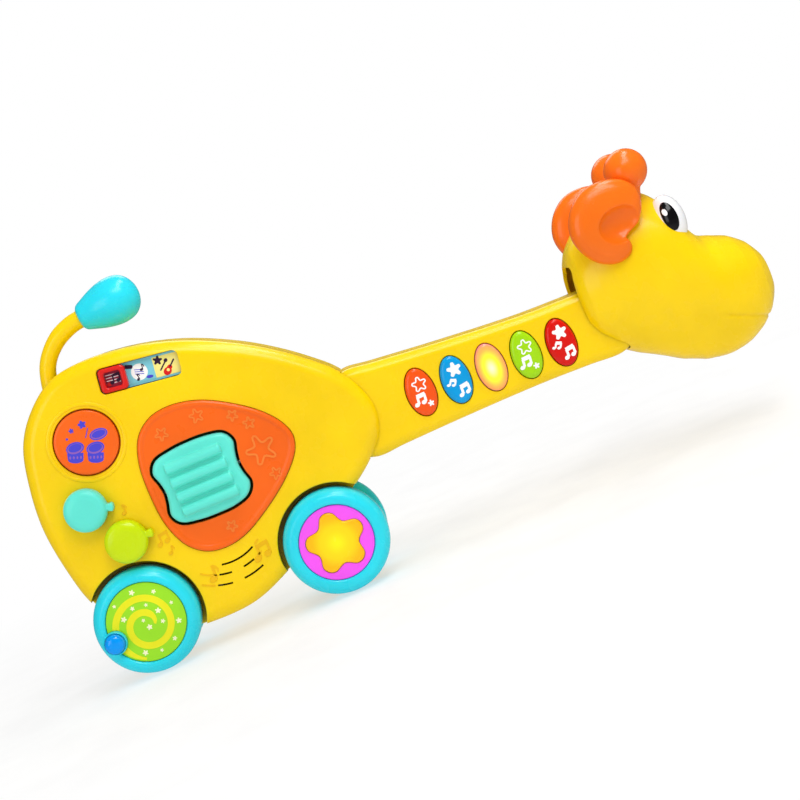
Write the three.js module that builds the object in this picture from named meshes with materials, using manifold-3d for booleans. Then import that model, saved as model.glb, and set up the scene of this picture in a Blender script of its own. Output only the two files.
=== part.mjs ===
// A toddler's electronic guitar in the shape of a giraffe on four wheels.
//
// Units are millimetres. +X runs from the tail to the nose, +Z is up, and the play face looks
// along -Y. The drawing starts on the floor, midway between the two axles, on the parting plane,
// and the finished toy is then moved along X until its origin is under the middle of its length.
// "Front" in a name means the play face (-Y) and "rear" means the plain back (+Y), except for
// the two axles, which are named from their place under the body.

import * as THREE from "three";
import { mergeVertices } from "three/addons/utils/BufferGeometryUtils.js";
import Module from "manifold-3d";

const wasm = await Module();
wasm.setup();

// ---------------------------------------------------------------- driving dimensions

const WALL = 2.4; // moulded shell wall
const GAP = 0.3; // clearance between fixed neighbours
const RUNNING = 0.2; // radial clearance of a turning part, more than its facets need
const PARTING = 0.1; // half the gap between a front and a rear shell

const BODY_HALF = 23; // half thickness of the body
const BODY_ROUND = 8; // edge radius of the body
const NECK_HALF = 17.5;
const NECK_ROUND = 6;
const NECK_WALL = 1.7;
const HEAD_WALL = 1.6;

const AXLE_X = 58; // axles stand at -AXLE_X and +AXLE_X
const WHEEL_R = 30.5;
const WHEEL_INNER = 13; // distance of a wheel's inner face from the parting plane
const WHEEL_OUTER = 30; // and of its outer face
const AXLE_R = 2.5;
const ARCH_R = 34.6; // wheel arch in the body
const PARTITION_HALF = 11; // half thickness of the body between the wheels
const LOBE_R = 16; // lobe of that partition around each axle

const KEY_COUNT = 5;
const KEY_PITCH = 21.1;
const KEY_FIRST = [134.4, 90]; // centre of the first key
const KEY_SLOPE = -1.15; // each key sits this much lower than the one before
const KEY_PROUD = 2; // a key stands this far out of the neck
const DRUM = [-49.5, 136.3];
const DRUM_R = 18.2;
const DRUM_PROUD = 1.6;

const VOLUME_KNOB = { at: [-64.5, 101.5], pointer: -14 };
const MODE_KNOB = { at: [-50.5, 76.5], pointer: -2 };
const KNOB_R = 12.2;
const SLOT = { at: [-7.2, 161.3], length: 46.4, height: 14.6, tilt: -7.7 };
const SLIDER_LENGTH = 16;

const STRUM = [2, 92.8]; // centre and hinge line of the strum paddle
const STRUM_AXLE_Y = -17.5;
const HEAD_PIVOT = [278, 97];
const TAIL_PIVOT = [-61, 160];

// ---------------------------------------------------------------- colours

const plastic = (color, roughness = 0.35) => {
  return new THREE.MeshStandardMaterial({ color, roughness, metalness: 0 });
};
const metal = (color, roughness = 0.3) => {
  return new THREE.MeshStandardMaterial({ color, roughness, metalness: 1 });
};
const YELLOW = plastic(0xffd600);
const ORANGE = plastic(0xff6d12);
const EAR_ORANGE = plastic(0xff7a18);
const CYAN = plastic(0x2de1ec);
const TURQUOISE = plastic(0x5eecd8);
const LIME = plastic(0xd0ea00);
const MAGENTA = plastic(0xfe61fb);
const AMBER = plastic(0xffd21e);
const SPIRAL_GREEN = plastic(0x9ee825);
const BEAD_BLUE = plastic(0x0596f0, 0.1);
const RED = plastic(0xd8261c);
const WHITE = plastic(0xf5f5f5);
const LABEL = plastic(0xbfe4ee, 0.6);
const DARK = plastic(0x2b2d30, 0.6);
const SILICONE = plastic(0xd9d9d4, 0.7);
const BOARD = plastic(0x2f7d4a, 0.5);
const STEEL = metal(0xb9bcc0);
const CELL = metal(0x8f9aa5);

// ---------------------------------------------------------------- solids from geometries

// A manifold-3d solid from a closed three.js geometry.
function solidOf(geometry) {
  const bare = new THREE.BufferGeometry();
  bare.setAttribute("position", geometry.getAttribute("position"));
  if (geometry.index) bare.setIndex(geometry.index);
  const merged = mergeVertices(bare, 1e-4);
  const kept = [];
  const index = merged.index.array;
  for (let i = 0; i < index.length; i += 3) {
    const [a, b, c] = [index[i], index[i + 1], index[i + 2]];
    if (a !== b && b !== c && c !== a) kept.push(a, b, c);
  }
  const vertProperties = new Float32Array(merged.attributes.position.array);
  const build = (triVerts) => {
    return new wasm.Manifold(new wasm.Mesh({ numProp: 3, vertProperties, triVerts }));
  };
  const made = build(new Uint32Array(kept));
  if (made.volume() >= 0) return made;
  return build(new Uint32Array(kept).reverse());
}

// A named mesh from a solid.
function part(name, solid, material) {
  const mesh = solid.getMesh();
  const geometry = new THREE.BufferGeometry();
  geometry.setAttribute("position", new THREE.BufferAttribute(mesh.vertProperties, 3));
  geometry.setIndex(new THREE.BufferAttribute(mesh.triVerts, 1));
  geometry.computeVertexNormals();
  const made = new THREE.Mesh(geometry, material);
  made.name = name;
  return made;
}

const join = (...solids) => solids.reduce((all, next) => all.add(next));
const cut = (solid, ...tools) => tools.reduce((left, tool) => left.subtract(tool), solid);

// The largest of the bodies a solid falls into.
const largest = (solid) => solid.decompose().reduce((a, b) => (a.volume() > b.volume() ? a : b));

// An outline drawn in (X, Z), extruded from yNear to yFar, with its edges rounded if asked.
function prism(shape, yNear, yFar, round = 0, steps = 2) {
  const geometry = new THREE.ExtrudeGeometry(shape, {
    depth: yFar - yNear - 2 * round,
    curveSegments: 4,
    steps: 1,
    bevelEnabled: round > 0,
    bevelThickness: round,
    bevelSize: round,
    bevelOffset: -round,
    bevelSegments: steps,
  });
  geometry.translate(0, 0, round - yFar);
  geometry.rotateX(Math.PI / 2);
  return solidOf(geometry);
}

// A cylinder along Y around the point [x, z].
function disc([x, z], radius, yNear, yFar, sides = 24) {
  const geometry = new THREE.CylinderGeometry(radius, radius, yFar - yNear, sides);
  geometry.translate(x, (yNear + yFar) / 2, z);
  return solidOf(geometry);
}

// A box from its lowest to its highest corner.
function box([x0, y0, z0], [x1, y1, z1]) {
  const geometry = new THREE.BoxGeometry(x1 - x0, y1 - y0, z1 - z0);
  geometry.translate((x0 + x1) / 2, (y0 + y1) / 2, (z0 + z1) / 2);
  return solidOf(geometry);
}

// A profile of [radius, y] points turned about the Y axis, moved to [x, z].
function turned([x, z], profile, sides = 24) {
  const points = profile.map(([radius, y]) => new THREE.Vector2(radius, y));
  const geometry = new THREE.LatheGeometry(points, sides);
  geometry.translate(x, 0, z);
  return solidOf(geometry);
}

// A ball, or an ellipsoid with three half axes.
function ellipsoid([x, y, z], [a, b, c], around = 20, along = 12) {
  const geometry = new THREE.SphereGeometry(1, around, along);
  geometry.scale(a, b, c);
  geometry.translate(x, y, z);
  return solidOf(geometry);
}

// Points of a closed smooth curve through [x, z] points, moved inwards by inset. The points run
// anticlockwise as seen from the play face.
function smoothLoop(points, count, inset = 0) {
  const knots = points.map(([x, z]) => new THREE.Vector3(x, z, 0));
  const curve = new THREE.CatmullRomCurve3(knots, true, "centripetal");
  const loop = curve.getSpacedPoints(count).slice(0, count);
  return loop.map((p, i) => {
    const before = loop[(i + count - 1) % count];
    const after = loop[(i + 1) % count];
    const length = Math.hypot(after.x - before.x, after.y - before.y);
    const nx = -(after.y - before.y) / length;
    const nz = (after.x - before.x) / length;
    return new THREE.Vector2(p.x + inset * nx, p.y + inset * nz);
  });
}

const smoothShape = (points, count, inset = 0) => new THREE.Shape(smoothLoop(points, count, inset));
const polygon = (points) => new THREE.Shape(points.map(([x, z]) => new THREE.Vector2(x, z)));

// A rectangle with rounded corners around a centre, turned by tilt degrees.
function roundedRectangle([x, z], width, height, radius, tilt = 0) {
  const turn = THREE.MathUtils.degToRad(tilt);
  const points = [];
  const corners = [[1, -1, -90], [1, 1, 0], [-1, 1, 90], [-1, -1, 180]];
  for (const [sx, sz, start] of corners) {
    for (let step = 0; step <= 2; step++) {
      const angle = THREE.MathUtils.degToRad(start + step * 45);
      const u = sx * (width / 2 - radius) + radius * Math.cos(angle);
      const v = sz * (height / 2 - radius) + radius * Math.sin(angle);
      points.push([
        x + u * Math.cos(turn) - v * Math.sin(turn),
        z + u * Math.sin(turn) + v * Math.cos(turn),
      ]);
    }
  }
  return polygon(points);
}

// A tube of constant radius along a smooth curve through [x, y, z] points.
function tube(points, radius, stations = 12, sides = 14) {
  const path = new THREE.CatmullRomCurve3(points.map((p) => new THREE.Vector3(...p)));
  const section = new THREE.Shape();
  section.absarc(0, 0, radius, 0, 2 * Math.PI);
  return solidOf(
    new THREE.ExtrudeGeometry(section, {
      steps: stations,
      curveSegments: sides / 2,
      bevelEnabled: false,
      extrudePath: path,
    }),
  );
}

// The same solid turned about a Y axis through [x, z]; positive lifts the nose.
function lifted(solid, [x, z], degrees) {
  return solid.translate([-x, 0, -z]).rotate([0, -degrees, 0]).translate([x, 0, z]);
}

const FAR = 400; // larger than the toy
const frontHalf = (solid) => solid.intersect(box([-FAR, -FAR, -FAR], [FAR, -PARTING, FAR]));
const rearHalf = (solid) => solid.intersect(box([-FAR, PARTING, -FAR], [FAR, FAR, FAR]));

// ---------------------------------------------------------------- outlines

const BODY_OUTLINE = [
  [-93, 99], [-89, 66.5], [-84.9, 51.2], [-72, 27], [-50, 17], [-22, 13.7], [2, 15.2],
  [24.7, 23.8], [52, 39], [79.5, 54.8], [93, 65], [103.9, 76.5], [107.6, 92], [103.5, 107],
  [94.7, 120.3], [84.6, 129.9], [69.4, 142.1], [49, 155.3], [18.6, 169.5], [-10, 177],
  [-37.2, 179.1], [-57, 175.4], [-74, 162.5], [-84.4, 147.5], [-90.3, 126],
];
const NECK_OUTLINE = [
  [98, 64.4], [115, 65.1], [150, 66.2], [200, 66.9], [230, 66.2], [245, 66], [253.4, 70.5],
  [256, 79], [256, 93], [253.6, 102], [245, 106.4], [230, 106.9], [203, 107.7], [151, 112],
  [115, 115.7], [98, 117.4], [89.5, 113.6], [87, 105], [87, 77], [89.5, 68.4],
];
const PLATE_OUTLINE = [
  [-28.6, 95], [-27, 76], [-21, 61.5], [-12, 53.8], [-1, 51.6], [12, 54], [35, 67], [49, 78.5],
  [56.5, 88], [58.4, 96], [55.5, 104.5], [46, 116], [25, 130.5], [12, 135.7], [-1, 137.4],
  [-12, 135.3], [-21.5, 128], [-27, 115],
];
const PADDLE_OUTLINE = [
  [-22, 80], [-18.5, 74.5], [-8, 71.8], [3, 71.2], [14, 71.8], [22.5, 74.8], [26, 80.5],
  [24.6, 87], [23.9, 93], [24.9, 100], [26.2, 106], [22.8, 111.8], [14, 114.2], [3, 114.8],
  [-8, 114.1], [-18.8, 111.4], [-22.4, 105.5], [-20.8, 99.5], [-19.8, 93], [-20.6, 87],
];
const EAR_OUTLINE = [
  [243.6, 139], [246, 128], [253, 119], [263, 115], [270.5, 116.8], [273.6, 121.5],
  [272, 126.3], [275.4, 129], [281.5, 132], [286.5, 139.5], [287.5, 149], [282, 157],
  [271, 161], [258, 159.5], [248, 151],
];

// Half of an egg's width at a height t from -1 to 1, as a share of its greatest.
const eggWidth = (t) => Math.sqrt(Math.max(0, 1 - t * t)) * (1 - 0.13 * t);

function eggShape([x, z], halfWidth, halfHeight, count = 16) {
  const points = [];
  for (let i = 0; i < count; i++) {
    const angle = (2 * Math.PI * i) / count;
    const t = Math.sin(angle);
    points.push([x + Math.sign(Math.cos(angle)) * halfWidth * eggWidth(t), z + halfHeight * t]);
  }
  return polygon(points);
}

// A five-pointed star with blunt points and one point up.
function starShape([x, z], outer, inner, blunt) {
  const points = [];
  for (let i = 0; i < 5; i++) {
    const tip = Math.PI / 2 + (i * 2 * Math.PI) / 5;
    for (const side of [-1, -0.4, 0.4, 1]) {
      const radius = outer * (1 - 0.08 * Math.abs(side));
      const angle = tip + side * blunt;
      points.push([x + radius * Math.cos(angle), z + radius * Math.sin(angle)]);
    }
    const notch = tip + Math.PI / 5;
    points.push([x + inner * Math.cos(notch), z + inner * Math.sin(notch)]);
  }
  return polygon(points);
}

const keyCentre = (i) => [KEY_FIRST[0] + i * KEY_PITCH, KEY_FIRST[1] + i * KEY_SLOPE];

// ---------------------------------------------------------------- head form

// Each station is [x, lowest z, highest z, half width].
const HEAD_STATIONS = [
  [236.6, 92, 110, 14], [238.2, 83, 122, 22], [242, 76, 130.5, 26], [250, 68, 139, 29.5],
  [260, 60.8, 146, 33], [272, 54, 150, 35.5], [284, 46.8, 150.5, 37], [294, 42.5, 146, 37.5],
  [302, 40.6, 136.5, 37.2], [308, 40, 122, 36.6], [314, 40.5, 112, 36], [322, 42.3, 108.3, 34.5],
  [331, 47, 104.5, 31], [339, 54, 98, 25], [344.6, 63, 89.5, 16.5], [346.8, 72, 82, 7],
];
const HEAD_POWER = 2.4; // 2 would be an ellipse, more is squarer

// The head as a closed blob, made smaller all round by inset.
function headForm(inset, rings, around) {
  const places = new THREE.CatmullRomCurve3(
    HEAD_STATIONS.map(([x, low, high]) => new THREE.Vector3(x, (low + high) / 2, 0)),
  );
  const sizes = new THREE.CatmullRomCurve3(
    HEAD_STATIONS.map(([, low, high, width]) => new THREE.Vector3((high - low) / 2, width, 0)),
  );
  const [back, front] = [HEAD_STATIONS[0][0], HEAD_STATIONS[HEAD_STATIONS.length - 1][0]];
  const middle = (back + front) / 2;
  const shrink = 1 - inset / ((front - back) / 2);
  const geometry = new THREE.SphereGeometry(1, around, rings);
  geometry.rotateZ(Math.PI / 2); // poles along X
  const position = geometry.attributes.position;
  for (let i = 0; i < position.count; i++) {
    const polar = Math.acos(THREE.MathUtils.clamp(position.getX(i), -1, 1));
    const share = 1 - polar / Math.PI; // 0 at the back, 1 at the nose
    const at = places.getPoint(share);
    const size = sizes.getPoint(share);
    const angle = Math.atan2(position.getZ(i), position.getY(i));
    const c = Math.cos(angle);
    const s = Math.sin(angle);
    const power = Math.abs(c) ** HEAD_POWER + Math.abs(s) ** HEAD_POWER;
    const squareness = power ** (-1 / HEAD_POWER);
    const pole = Math.hypot(position.getY(i), position.getZ(i)) < 1e-6;
    const reach = pole ? 0 : squareness;
    position.setXYZ(
      i,
      middle + (at.x - middle) * shrink,
      reach * c * Math.max(size.y - inset, 0.5),
      at.y + reach * s * Math.max(size.x - inset, 0.5),
    );
  }
  return solidOf(geometry);
}

// ---------------------------------------------------------------- wheels

const WHEEL_SIDES = 26;
const DISH = 1.2; // the labels lie this far behind a wheel's rim
const LABEL_BACK = 2.8; // depth of a label's back face behind the rim

const axlePoint = (side) => [side * AXLE_X, WHEEL_R];

// A wheel's profile for the play side, as [radius, y]. The label sits in a shallow dish.
function wheelSolid(side, labelR) {
  const face = -WHEEL_OUTER;
  const back = -WHEEL_INNER;
  const web = face + 4.2;
  return turned(axlePoint(side), [
    [AXLE_R + RUNNING, face + 3], [labelR + GAP, face + 3], [labelR + GAP, face + DISH],
    [labelR + 1.4, face], [WHEEL_R - 3, face + 0.7], [WHEEL_R, face + 4.5], [WHEEL_R, back],
    [WHEEL_R - 3.6, back], [WHEEL_R - 3.6, web + 1.2], [6.2, web + 1.2], [6.2, back + 0.8],
    [AXLE_R + RUNNING, back + 0.8], [AXLE_R + RUNNING, face + 3],
  ], WHEEL_SIDES);
}

const mirrored = (solid) => solid.mirror([0, 1, 0]);

const SPIRAL_R = 22.6;
const STAR_DISC_R = 21.3;
const BEAD_AT = [-AXLE_X - 20.3, WHEEL_R - 4.3];
const BEAD_SOCKET_R = 6.6;
const BEAD_R = 4.7;

function scratchWheel() {
  const socket = turned(BEAD_AT, [
    [0, -WHEEL_OUTER - 1.2], [BEAD_R + GAP, -WHEEL_OUTER - 1.2],
    [BEAD_R + 0.7, -WHEEL_OUTER - 2.2], [BEAD_SOCKET_R - 0.6, -WHEEL_OUTER - 2.2],
    [BEAD_SOCKET_R, -WHEEL_OUTER - 1], [BEAD_SOCKET_R, -WHEEL_OUTER + 3.2],
    [0, -WHEEL_OUTER + 3.2],
  ], 14);
  return join(wheelSolid(-1, SPIRAL_R), socket);
}

function labelDisc(side, radius) {
  return disc(axlePoint(side), radius, -WHEEL_OUTER + DISH, -WHEEL_OUTER + LABEL_BACK, WHEEL_SIDES);
}

function spiralDisc() {
  const label = labelDisc(-1, SPIRAL_R);
  return cut(label, disc(BEAD_AT, BEAD_SOCKET_R + GAP, -FAR, 0, 14));
}

function pegBead() {
  return turned(BEAD_AT, [
    [0, -WHEEL_OUTER - 1.5], [BEAD_R, -WHEEL_OUTER - 1.5], [BEAD_R, -WHEEL_OUTER - 3],
    [BEAD_R * 0.8, -WHEEL_OUTER - 4.8], [0, -WHEEL_OUTER - 6],
  ], 14);
}

const STAR = { outer: 17.5, inner: 13, blunt: 0.26 };

function starDisc() {
  const hole = starShape(axlePoint(1), STAR.outer + GAP, STAR.inner + GAP, STAR.blunt);
  return cut(labelDisc(1, STAR_DISC_R), prism(hole, -FAR, 0));
}

function starLens() {
  const star = starShape(axlePoint(1), STAR.outer, STAR.inner, STAR.blunt);
  return prism(star, -WHEEL_OUTER + DISH / 2, -WHEEL_OUTER + LABEL_BACK);
}

const hubCap = (side) => mirrored(labelDisc(side, SPIRAL_R));

// ---------------------------------------------------------------- body shells

const SCREW_POSTS = [[-83, 120], [36, 66], [32, 150], [76, 92]];
const NECK_POST = SCREW_POSTS[3];
const POST_R = 4;
const SCREW_R = 1.5;
const SCREW_HEAD_R = 3;
const POST_SEAT = 8; // the screw's head seats this far behind the parting plane

const ARCH_SIDES = 22;

function bothPockets(radius, inner) {
  const pockets = [];
  for (const side of [-1, 1]) {
    pockets.push(disc(axlePoint(side), radius, -FAR, -inner, ARCH_SIDES));
    pockets.push(disc(axlePoint(side), radius, inner, FAR, ARCH_SIDES));
  }
  return join(...pockets);
}

function lobes(radius, half) {
  return join(...[-1, 1].map((side) => disc(axlePoint(side), radius, -half, half, 14)));
}

function bodyForm(inset, points) {
  const outline = smoothShape(BODY_OUTLINE, points, inset);
  return prism(outline, -BODY_HALF + inset, BODY_HALF - inset, BODY_ROUND - inset);
}

function neckForm(inset) {
  const outline = smoothShape(NECK_OUTLINE, 36, inset);
  return prism(outline, -NECK_HALF + inset, NECK_HALF - inset, NECK_ROUND - Math.max(inset, 0));
}

const BODY_AXLE_TUBE_R = 5.5;
const TAIL_SLOT = box([-70, -6, 165], [-47, 6, 186]);
const neckSocket = neckForm(-GAP);

// The closed body shell with its axle tubes, before it is split and pierced.
function bodyShell() {
  const block = join(bodyForm(0, 40), lobes(LOBE_R, PARTITION_HALF));
  const outer = cut(block, bothPockets(ARCH_R, PARTITION_HALF));
  const room = join(bodyForm(WALL, 28), lobes(LOBE_R - WALL, PARTITION_HALF - WALL));
  const cavity = cut(room, bothPockets(ARCH_R + WALL, PARTITION_HALF - WALL));
  const along = (radius, half, sides) => {
    return join(...[-1, 1].map((side) => disc(axlePoint(side), radius, -half, half, sides)));
  };
  const axleTubes = along(BODY_AXLE_TUBE_R, PARTITION_HALF, 12);
  const axleHoles = along(AXLE_R + RUNNING, FAR, 14);
  return cut(join(cut(outer, cavity), axleTubes), axleHoles, neckSocket, TAIL_SLOT);
}

// A narrow strip along an arc, for a sound slot: from angle a to b, in degrees.
function arcStrip([x, z], radius, a, b, width) {
  const shape = new THREE.Shape();
  const [from, to] = [THREE.MathUtils.degToRad(a), THREE.MathUtils.degToRad(b)];
  shape.absarc(x, z, radius + width / 2, from, to, false);
  shape.absarc(x, z, radius - width / 2, to, from, true);
  return new THREE.Shape(shape.getPoints(2));
}

const SOUND_CENTRE = [-1, 72]; // the slots are arcs about this point
const SOUND_SLOTS = [
  [29.5, -102, -62], [35, -106, -94], [35, -82, -70], [41, -108, -96], [41, -86, -68],
];

const SOUND_WIDTH = 1.3;
const THROUGH = -15; // openings in the play wall are cut this deep

const slotShape = (grow = 0, extraHeight = 0) => {
  return roundedRectangle(
    SLOT.at, SLOT.length + 2 * grow, SLOT.height + 2 * grow + extraHeight, 3, SLOT.tilt,
  );
};

function bodyFrontShell(shell) {
  const posts = SCREW_POSTS.map((at) => disc(at, POST_R, -BODY_HALF + 1, -PARTING, 8));
  const tailPost = disc(TAIL_PIVOT, 5, -BODY_HALF + 1, -5.6, 10);
  const solid = frontHalf(join(shell, ...posts, tailPost));
  const sound = SOUND_SLOTS.map(([radius, a, b]) => {
    return prism(arcStrip(SOUND_CENTRE, radius, a, b, SOUND_WIDTH), -FAR, THROUGH);
  });
  return cut(
    solid,
    ...SCREW_POSTS.map((at) => disc(at, SCREW_R, -12, FAR, 6)),
    disc(TAIL_PIVOT, PIN_R + RUNNING, -14, FAR, 14),
    prism(smoothShape(PLATE_OUTLINE, 30, -0.35), -FAR, -BODY_HALF + 0.8),
    prism(smoothShape(PADDLE_OUTLINE, 18, -3), -FAR, THROUGH),
    disc(DRUM, DRUM_R + 0.7, -FAR, THROUGH, 24),
    disc(VOLUME_KNOB.at, KNOB_SHAFT_R + 0.5, -FAR, THROUGH, 12),
    disc(MODE_KNOB.at, KNOB_SHAFT_R + 0.5, -FAR, THROUGH, 12),
    prism(slotShape(), -FAR, THROUGH),
    disc(STAR_LAMP, 3, -14, -5, 10),
    ...sound,
  );
}

const BATTERY = { at: [-44, 108], cell: [50.5, 14.5], pitch: 15.2, y: 11.6 };
const BATTERY_HATCH = { width: 64, height: 54 };
const TRAY_WALL = 1.6;

const DOOR_SCREW = [BATTERY.at[0], BATTERY.at[1] + BATTERY_HATCH.height / 2 + 7];
const DOOR_BOSS_R = 5;
const DOOR_SEAT = 21; // the door screw's head seats at this Y

function hatchShape(grow) {
  const { width, height } = BATTERY_HATCH;
  return roundedRectangle(BATTERY.at, width + 2 * grow, height + 2 * grow, 4 + grow);
}

// The battery door's plate with its tongue for the screw, grown all round.
function doorPlate(grow, yNear, yFar) {
  const [x, z] = DOOR_SCREW;
  const tongue = roundedRectangle([x, z - 4], 10 + 2 * grow, 18 + 2 * grow, 4 + grow);
  return join(prism(hatchShape(grow), yNear, yFar), prism(tongue, yNear, yFar));
}

function bodyRearShell(shell) {
  const posts = SCREW_POSTS.map((at) => disc(at, POST_R + 1.4, PARTING, BODY_HALF - 1, 8));
  const tailPost = disc(TAIL_PIVOT, 5, 5.6, BODY_HALF - 1, 10);
  return cut(
    rearHalf(join(shell, ...posts, tailPost, disc(DOOR_SCREW, DOOR_BOSS_R + 2.4, 12, 21, 12))),
    ...SCREW_POSTS.map((at) => disc(at, SCREW_R + 0.4, PARTING - 1, FAR, 6)),
    ...SCREW_POSTS.map((at) => disc(at, SCREW_HEAD_R + 0.4, POST_SEAT, FAR, 10)),
    disc(TAIL_PIVOT, PIN_R + RUNNING, -FAR, 14, 14),
    doorPlate(GAP, BODY_HALF - 1.6, FAR),
    prism(hatchShape(-2), 5, FAR),
    disc(DOOR_SCREW, DOOR_BOSS_R + GAP, 19.6, FAR, 12),
    disc(DOOR_SCREW, SCREW_R, 5, FAR, 6),
  );
}

// ---------------------------------------------------------------- neck shells

const TONGUE_HALF = 5;
const PIN_R = 2.5;
const HEAD_PIN_R = 3;

function neckShell() {
  const outer = neckForm(0);
  const hollow = neckForm(NECK_WALL);
  const wireway = box([80, -10, 70], [90, 10, 80]);
  const lug = box([NECK_POST[0] - 9, -5, NECK_POST[1] - 9], [88, 5, NECK_POST[1] + 9]);
  const [x, z] = HEAD_PIVOT;
  const tongue = polygon([[251, z - 13], [x, z - 11], [x, z + 9], [251, z + 8]]);
  const bar = prism(tongue, -TONGUE_HALF, TONGUE_HALF);
  const eye = disc([x, z], 11, -TONGUE_HALF, TONGUE_HALF, 14);
  return cut(
    join(cut(outer, hollow, wireway), lug, bar, eye),
    disc([x, z], HEAD_PIN_R + RUNNING, -FAR, FAR, 14),
    disc(NECK_POST, POST_R + 1.4 + GAP, -FAR, FAR, 12),
  );
}

function neckFrontShell(shell) {
  const holes = [];
  for (let i = 0; i < KEY_COUNT; i++) holes.push(prism(eggShape(keyCentre(i), 8.9, 14.6), -FAR, -13));
  return cut(frontHalf(shell), ...holes);
}

// ---------------------------------------------------------------- head shells

const NOD_LIMIT = 20;

// The room the neck needs inside the head over the whole nod.
function neckSweep() {
  const neck = neckForm(-0.6).intersect(box([200, -FAR, -FAR], [262, FAR, FAR]));
  const steps = [0, 7, 14, NOD_LIMIT];
  return join(...steps.map((angle) => lifted(neck, HEAD_PIVOT, -angle)));
}

function headShells() {
  const outer = headForm(0, 18, 22);
  const hollow = headForm(HEAD_WALL, 14, 16);
  const shell = cut(outer, hollow);
  const [x, z] = HEAD_PIVOT;
  const postEnd = TONGUE_HALF + 0.6;
  const pinPosts = cut(disc([x, z], 6, -34, 34, 14), disc([x, z], 7, -postEnd, postEnd, 8));
  const whole = cut(join(shell, pinPosts.intersect(headForm(0.6, 10, 12))), neckSweep());
  const bored = cut(whole, disc([x, z], HEAD_PIN_R + 0.15, -31, 31, 14));
  return { front: frontHalf(bored), rear: rearHalf(bored), outer: headForm(-GAP, 18, 22) };
}

const EAR_NEAR = -41;
const EAR_FAR = -24.5;

function ear(headOuter) {
  const lobe = prism(smoothShape(EAR_OUTLINE, 20), EAR_NEAR, EAR_FAR, 6.5);
  const centre = [271, EAR_NEAR - 5, 137];
  const dish = ellipsoid(centre, [15, 9, 12], 12, 6);
  const room = prism(smoothShape(EAR_OUTLINE, 12, 2.6), EAR_NEAR + 2, EAR_FAR - 2, 3, 1);
  const hollow = cut(room, ellipsoid(centre, [17, 11, 14], 10, 6), headOuter.translate([0, -2, 0]));
  const vent = disc([262, 130], 4, EAR_NEAR + 8, 0, 8);
  return cut(lobe, dish, headOuter, hollow, vent);
}

const HORN_BALL = [288.4, -20.5, 161];
const HORN_BALL_R = 11.8;
const HORN_STEM = [[288.6, -20.5, 156], [284.6, -22.5, 148], [280, -25.5, 138], [277.5, -27, 132]];
const HORN_STEM_R = 5.5;
const EYE_AT = [300.6, -19.5, 126.8];
const EYE_AXES = [8.6, 12.6, 14];

function horn(headOuter) {
  const ball = ellipsoid(HORN_BALL, [HORN_BALL_R, HORN_BALL_R, HORN_BALL_R], 12, 8);
  const stem = tube(HORN_STEM, HORN_STEM_R, 3, 8);
  return largest(cut(join(ball, stem), headOuter, grownEarBlock()));
}

// The ear's prism a little larger, so that the horn keeps clear of it.
function grownEarBlock() {
  return prism(smoothShape(EAR_OUTLINE, 20, -GAP), EAR_NEAR - GAP, EAR_FAR + GAP, 6.5);
}

function eye(headOuter, hornSolid) {
  return cut(ellipsoid(EYE_AT, EYE_AXES, 12, 10), headOuter, hornSolid);
}

// ---------------------------------------------------------------- tail

const TAIL_PATH = [
  [-60.5, 0, 162], [-60, 0, 172], [-56, 0, 185], [-46.5, 0, 195.3], [-36, 0, 200.4],
  [-26.5, 0, 202.2],
];
const TAIL_R = 5.2;

function tailArm() {
  const hub = disc(TAIL_PIVOT, 7.4, -5, 5, 14);
  const bore = disc(TAIL_PIVOT, PIN_R + RUNNING, -FAR, FAR, 14);
  return cut(join(tube(TAIL_PATH, TAIL_R, 8, 10), hub), bore);
}

// The tail's tip: an egg along the end of the arm, with a socket for it.
function tailTip() {
  const profile = [
    [0, 0], [5.6, 0], [7.6, 1.4], [9.6, 6], [12, 12], [13.6, 18.5], [13.9, 25], [12.4, 30.5],
    [8.6, 34.6], [4, 36.6], [0, 37],
  ];
  const points = profile.map(([radius, along]) => new THREE.Vector2(radius, along));
  const geometry = new THREE.LatheGeometry(points, 14);
  geometry.rotateZ(-Math.PI / 2);
  geometry.rotateY(THREE.MathUtils.degToRad(-5));
  geometry.translate(-29, 0, 202);
  return cut(solidOf(geometry), tube(TAIL_PATH, TAIL_R + 0.2, 8, 10));
}

// ---------------------------------------------------------------- controls

const KNOB_SHAFT_R = 3.6;
const BOARD_Y = -9.6; // play side of the main board
const BOARD_THICK = 1.6;

function knob({ at: [x, z], pointer }) {
  const base = -BODY_HALF - GAP;
  const top = base - 8.2;
  const cap = turned([x, z], [
    [0, base], [KNOB_R, base], [KNOB_R, top + 3], [KNOB_R - 1.6, top], [0, top],
  ], 22);
  const shaft = disc([x, z], KNOB_SHAFT_R, base - 1, BOARD_Y - 4.6, 12);
  const turn = THREE.MathUtils.degToRad(pointer);
  const tab = prism(roundedRectangle(
    [x + 12.5 * Math.cos(turn), z + 12.5 * Math.sin(turn)], 8.4, 5, 2.2, pointer,
  ), top + 2.4, base);
  return join(cap, shaft, tab);
}

function knobSwitch([x, z]) {
  return prism(roundedRectangle([x, z], 11, 11, 1), BOARD_Y - 4, BOARD_Y - 0.1);
}

function drumButton() {
  const face = -BODY_HALF - DRUM_PROUD;
  return turned(DRUM, [
    [0, face], [DRUM_R - 1.2, face], [DRUM_R, face + 1.2], [DRUM_R, -20.3],
    [DRUM_R + 1.4, -20.3], [DRUM_R + 1.4, -19.2], [DRUM_R - 1.8, -19.2], [DRUM_R - 1.8, -22],
    [3, -22], [3, -15], [0, -15],
  ], 24);
}

function key(i) {
  const at = keyCentre(i);
  const cap = prism(eggShape(at, 8.4, 14.1), -NECK_HALF - KEY_PROUD, -12.4, 1.1, 1);
  const flange = prism(roundedRectangle([at[0], at[1] - 1], 18.6, 27.6, 7), -13.9, -12.9);
  return join(cap, flange);
}

const KEY_BOARD_Y = -8.5;

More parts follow.
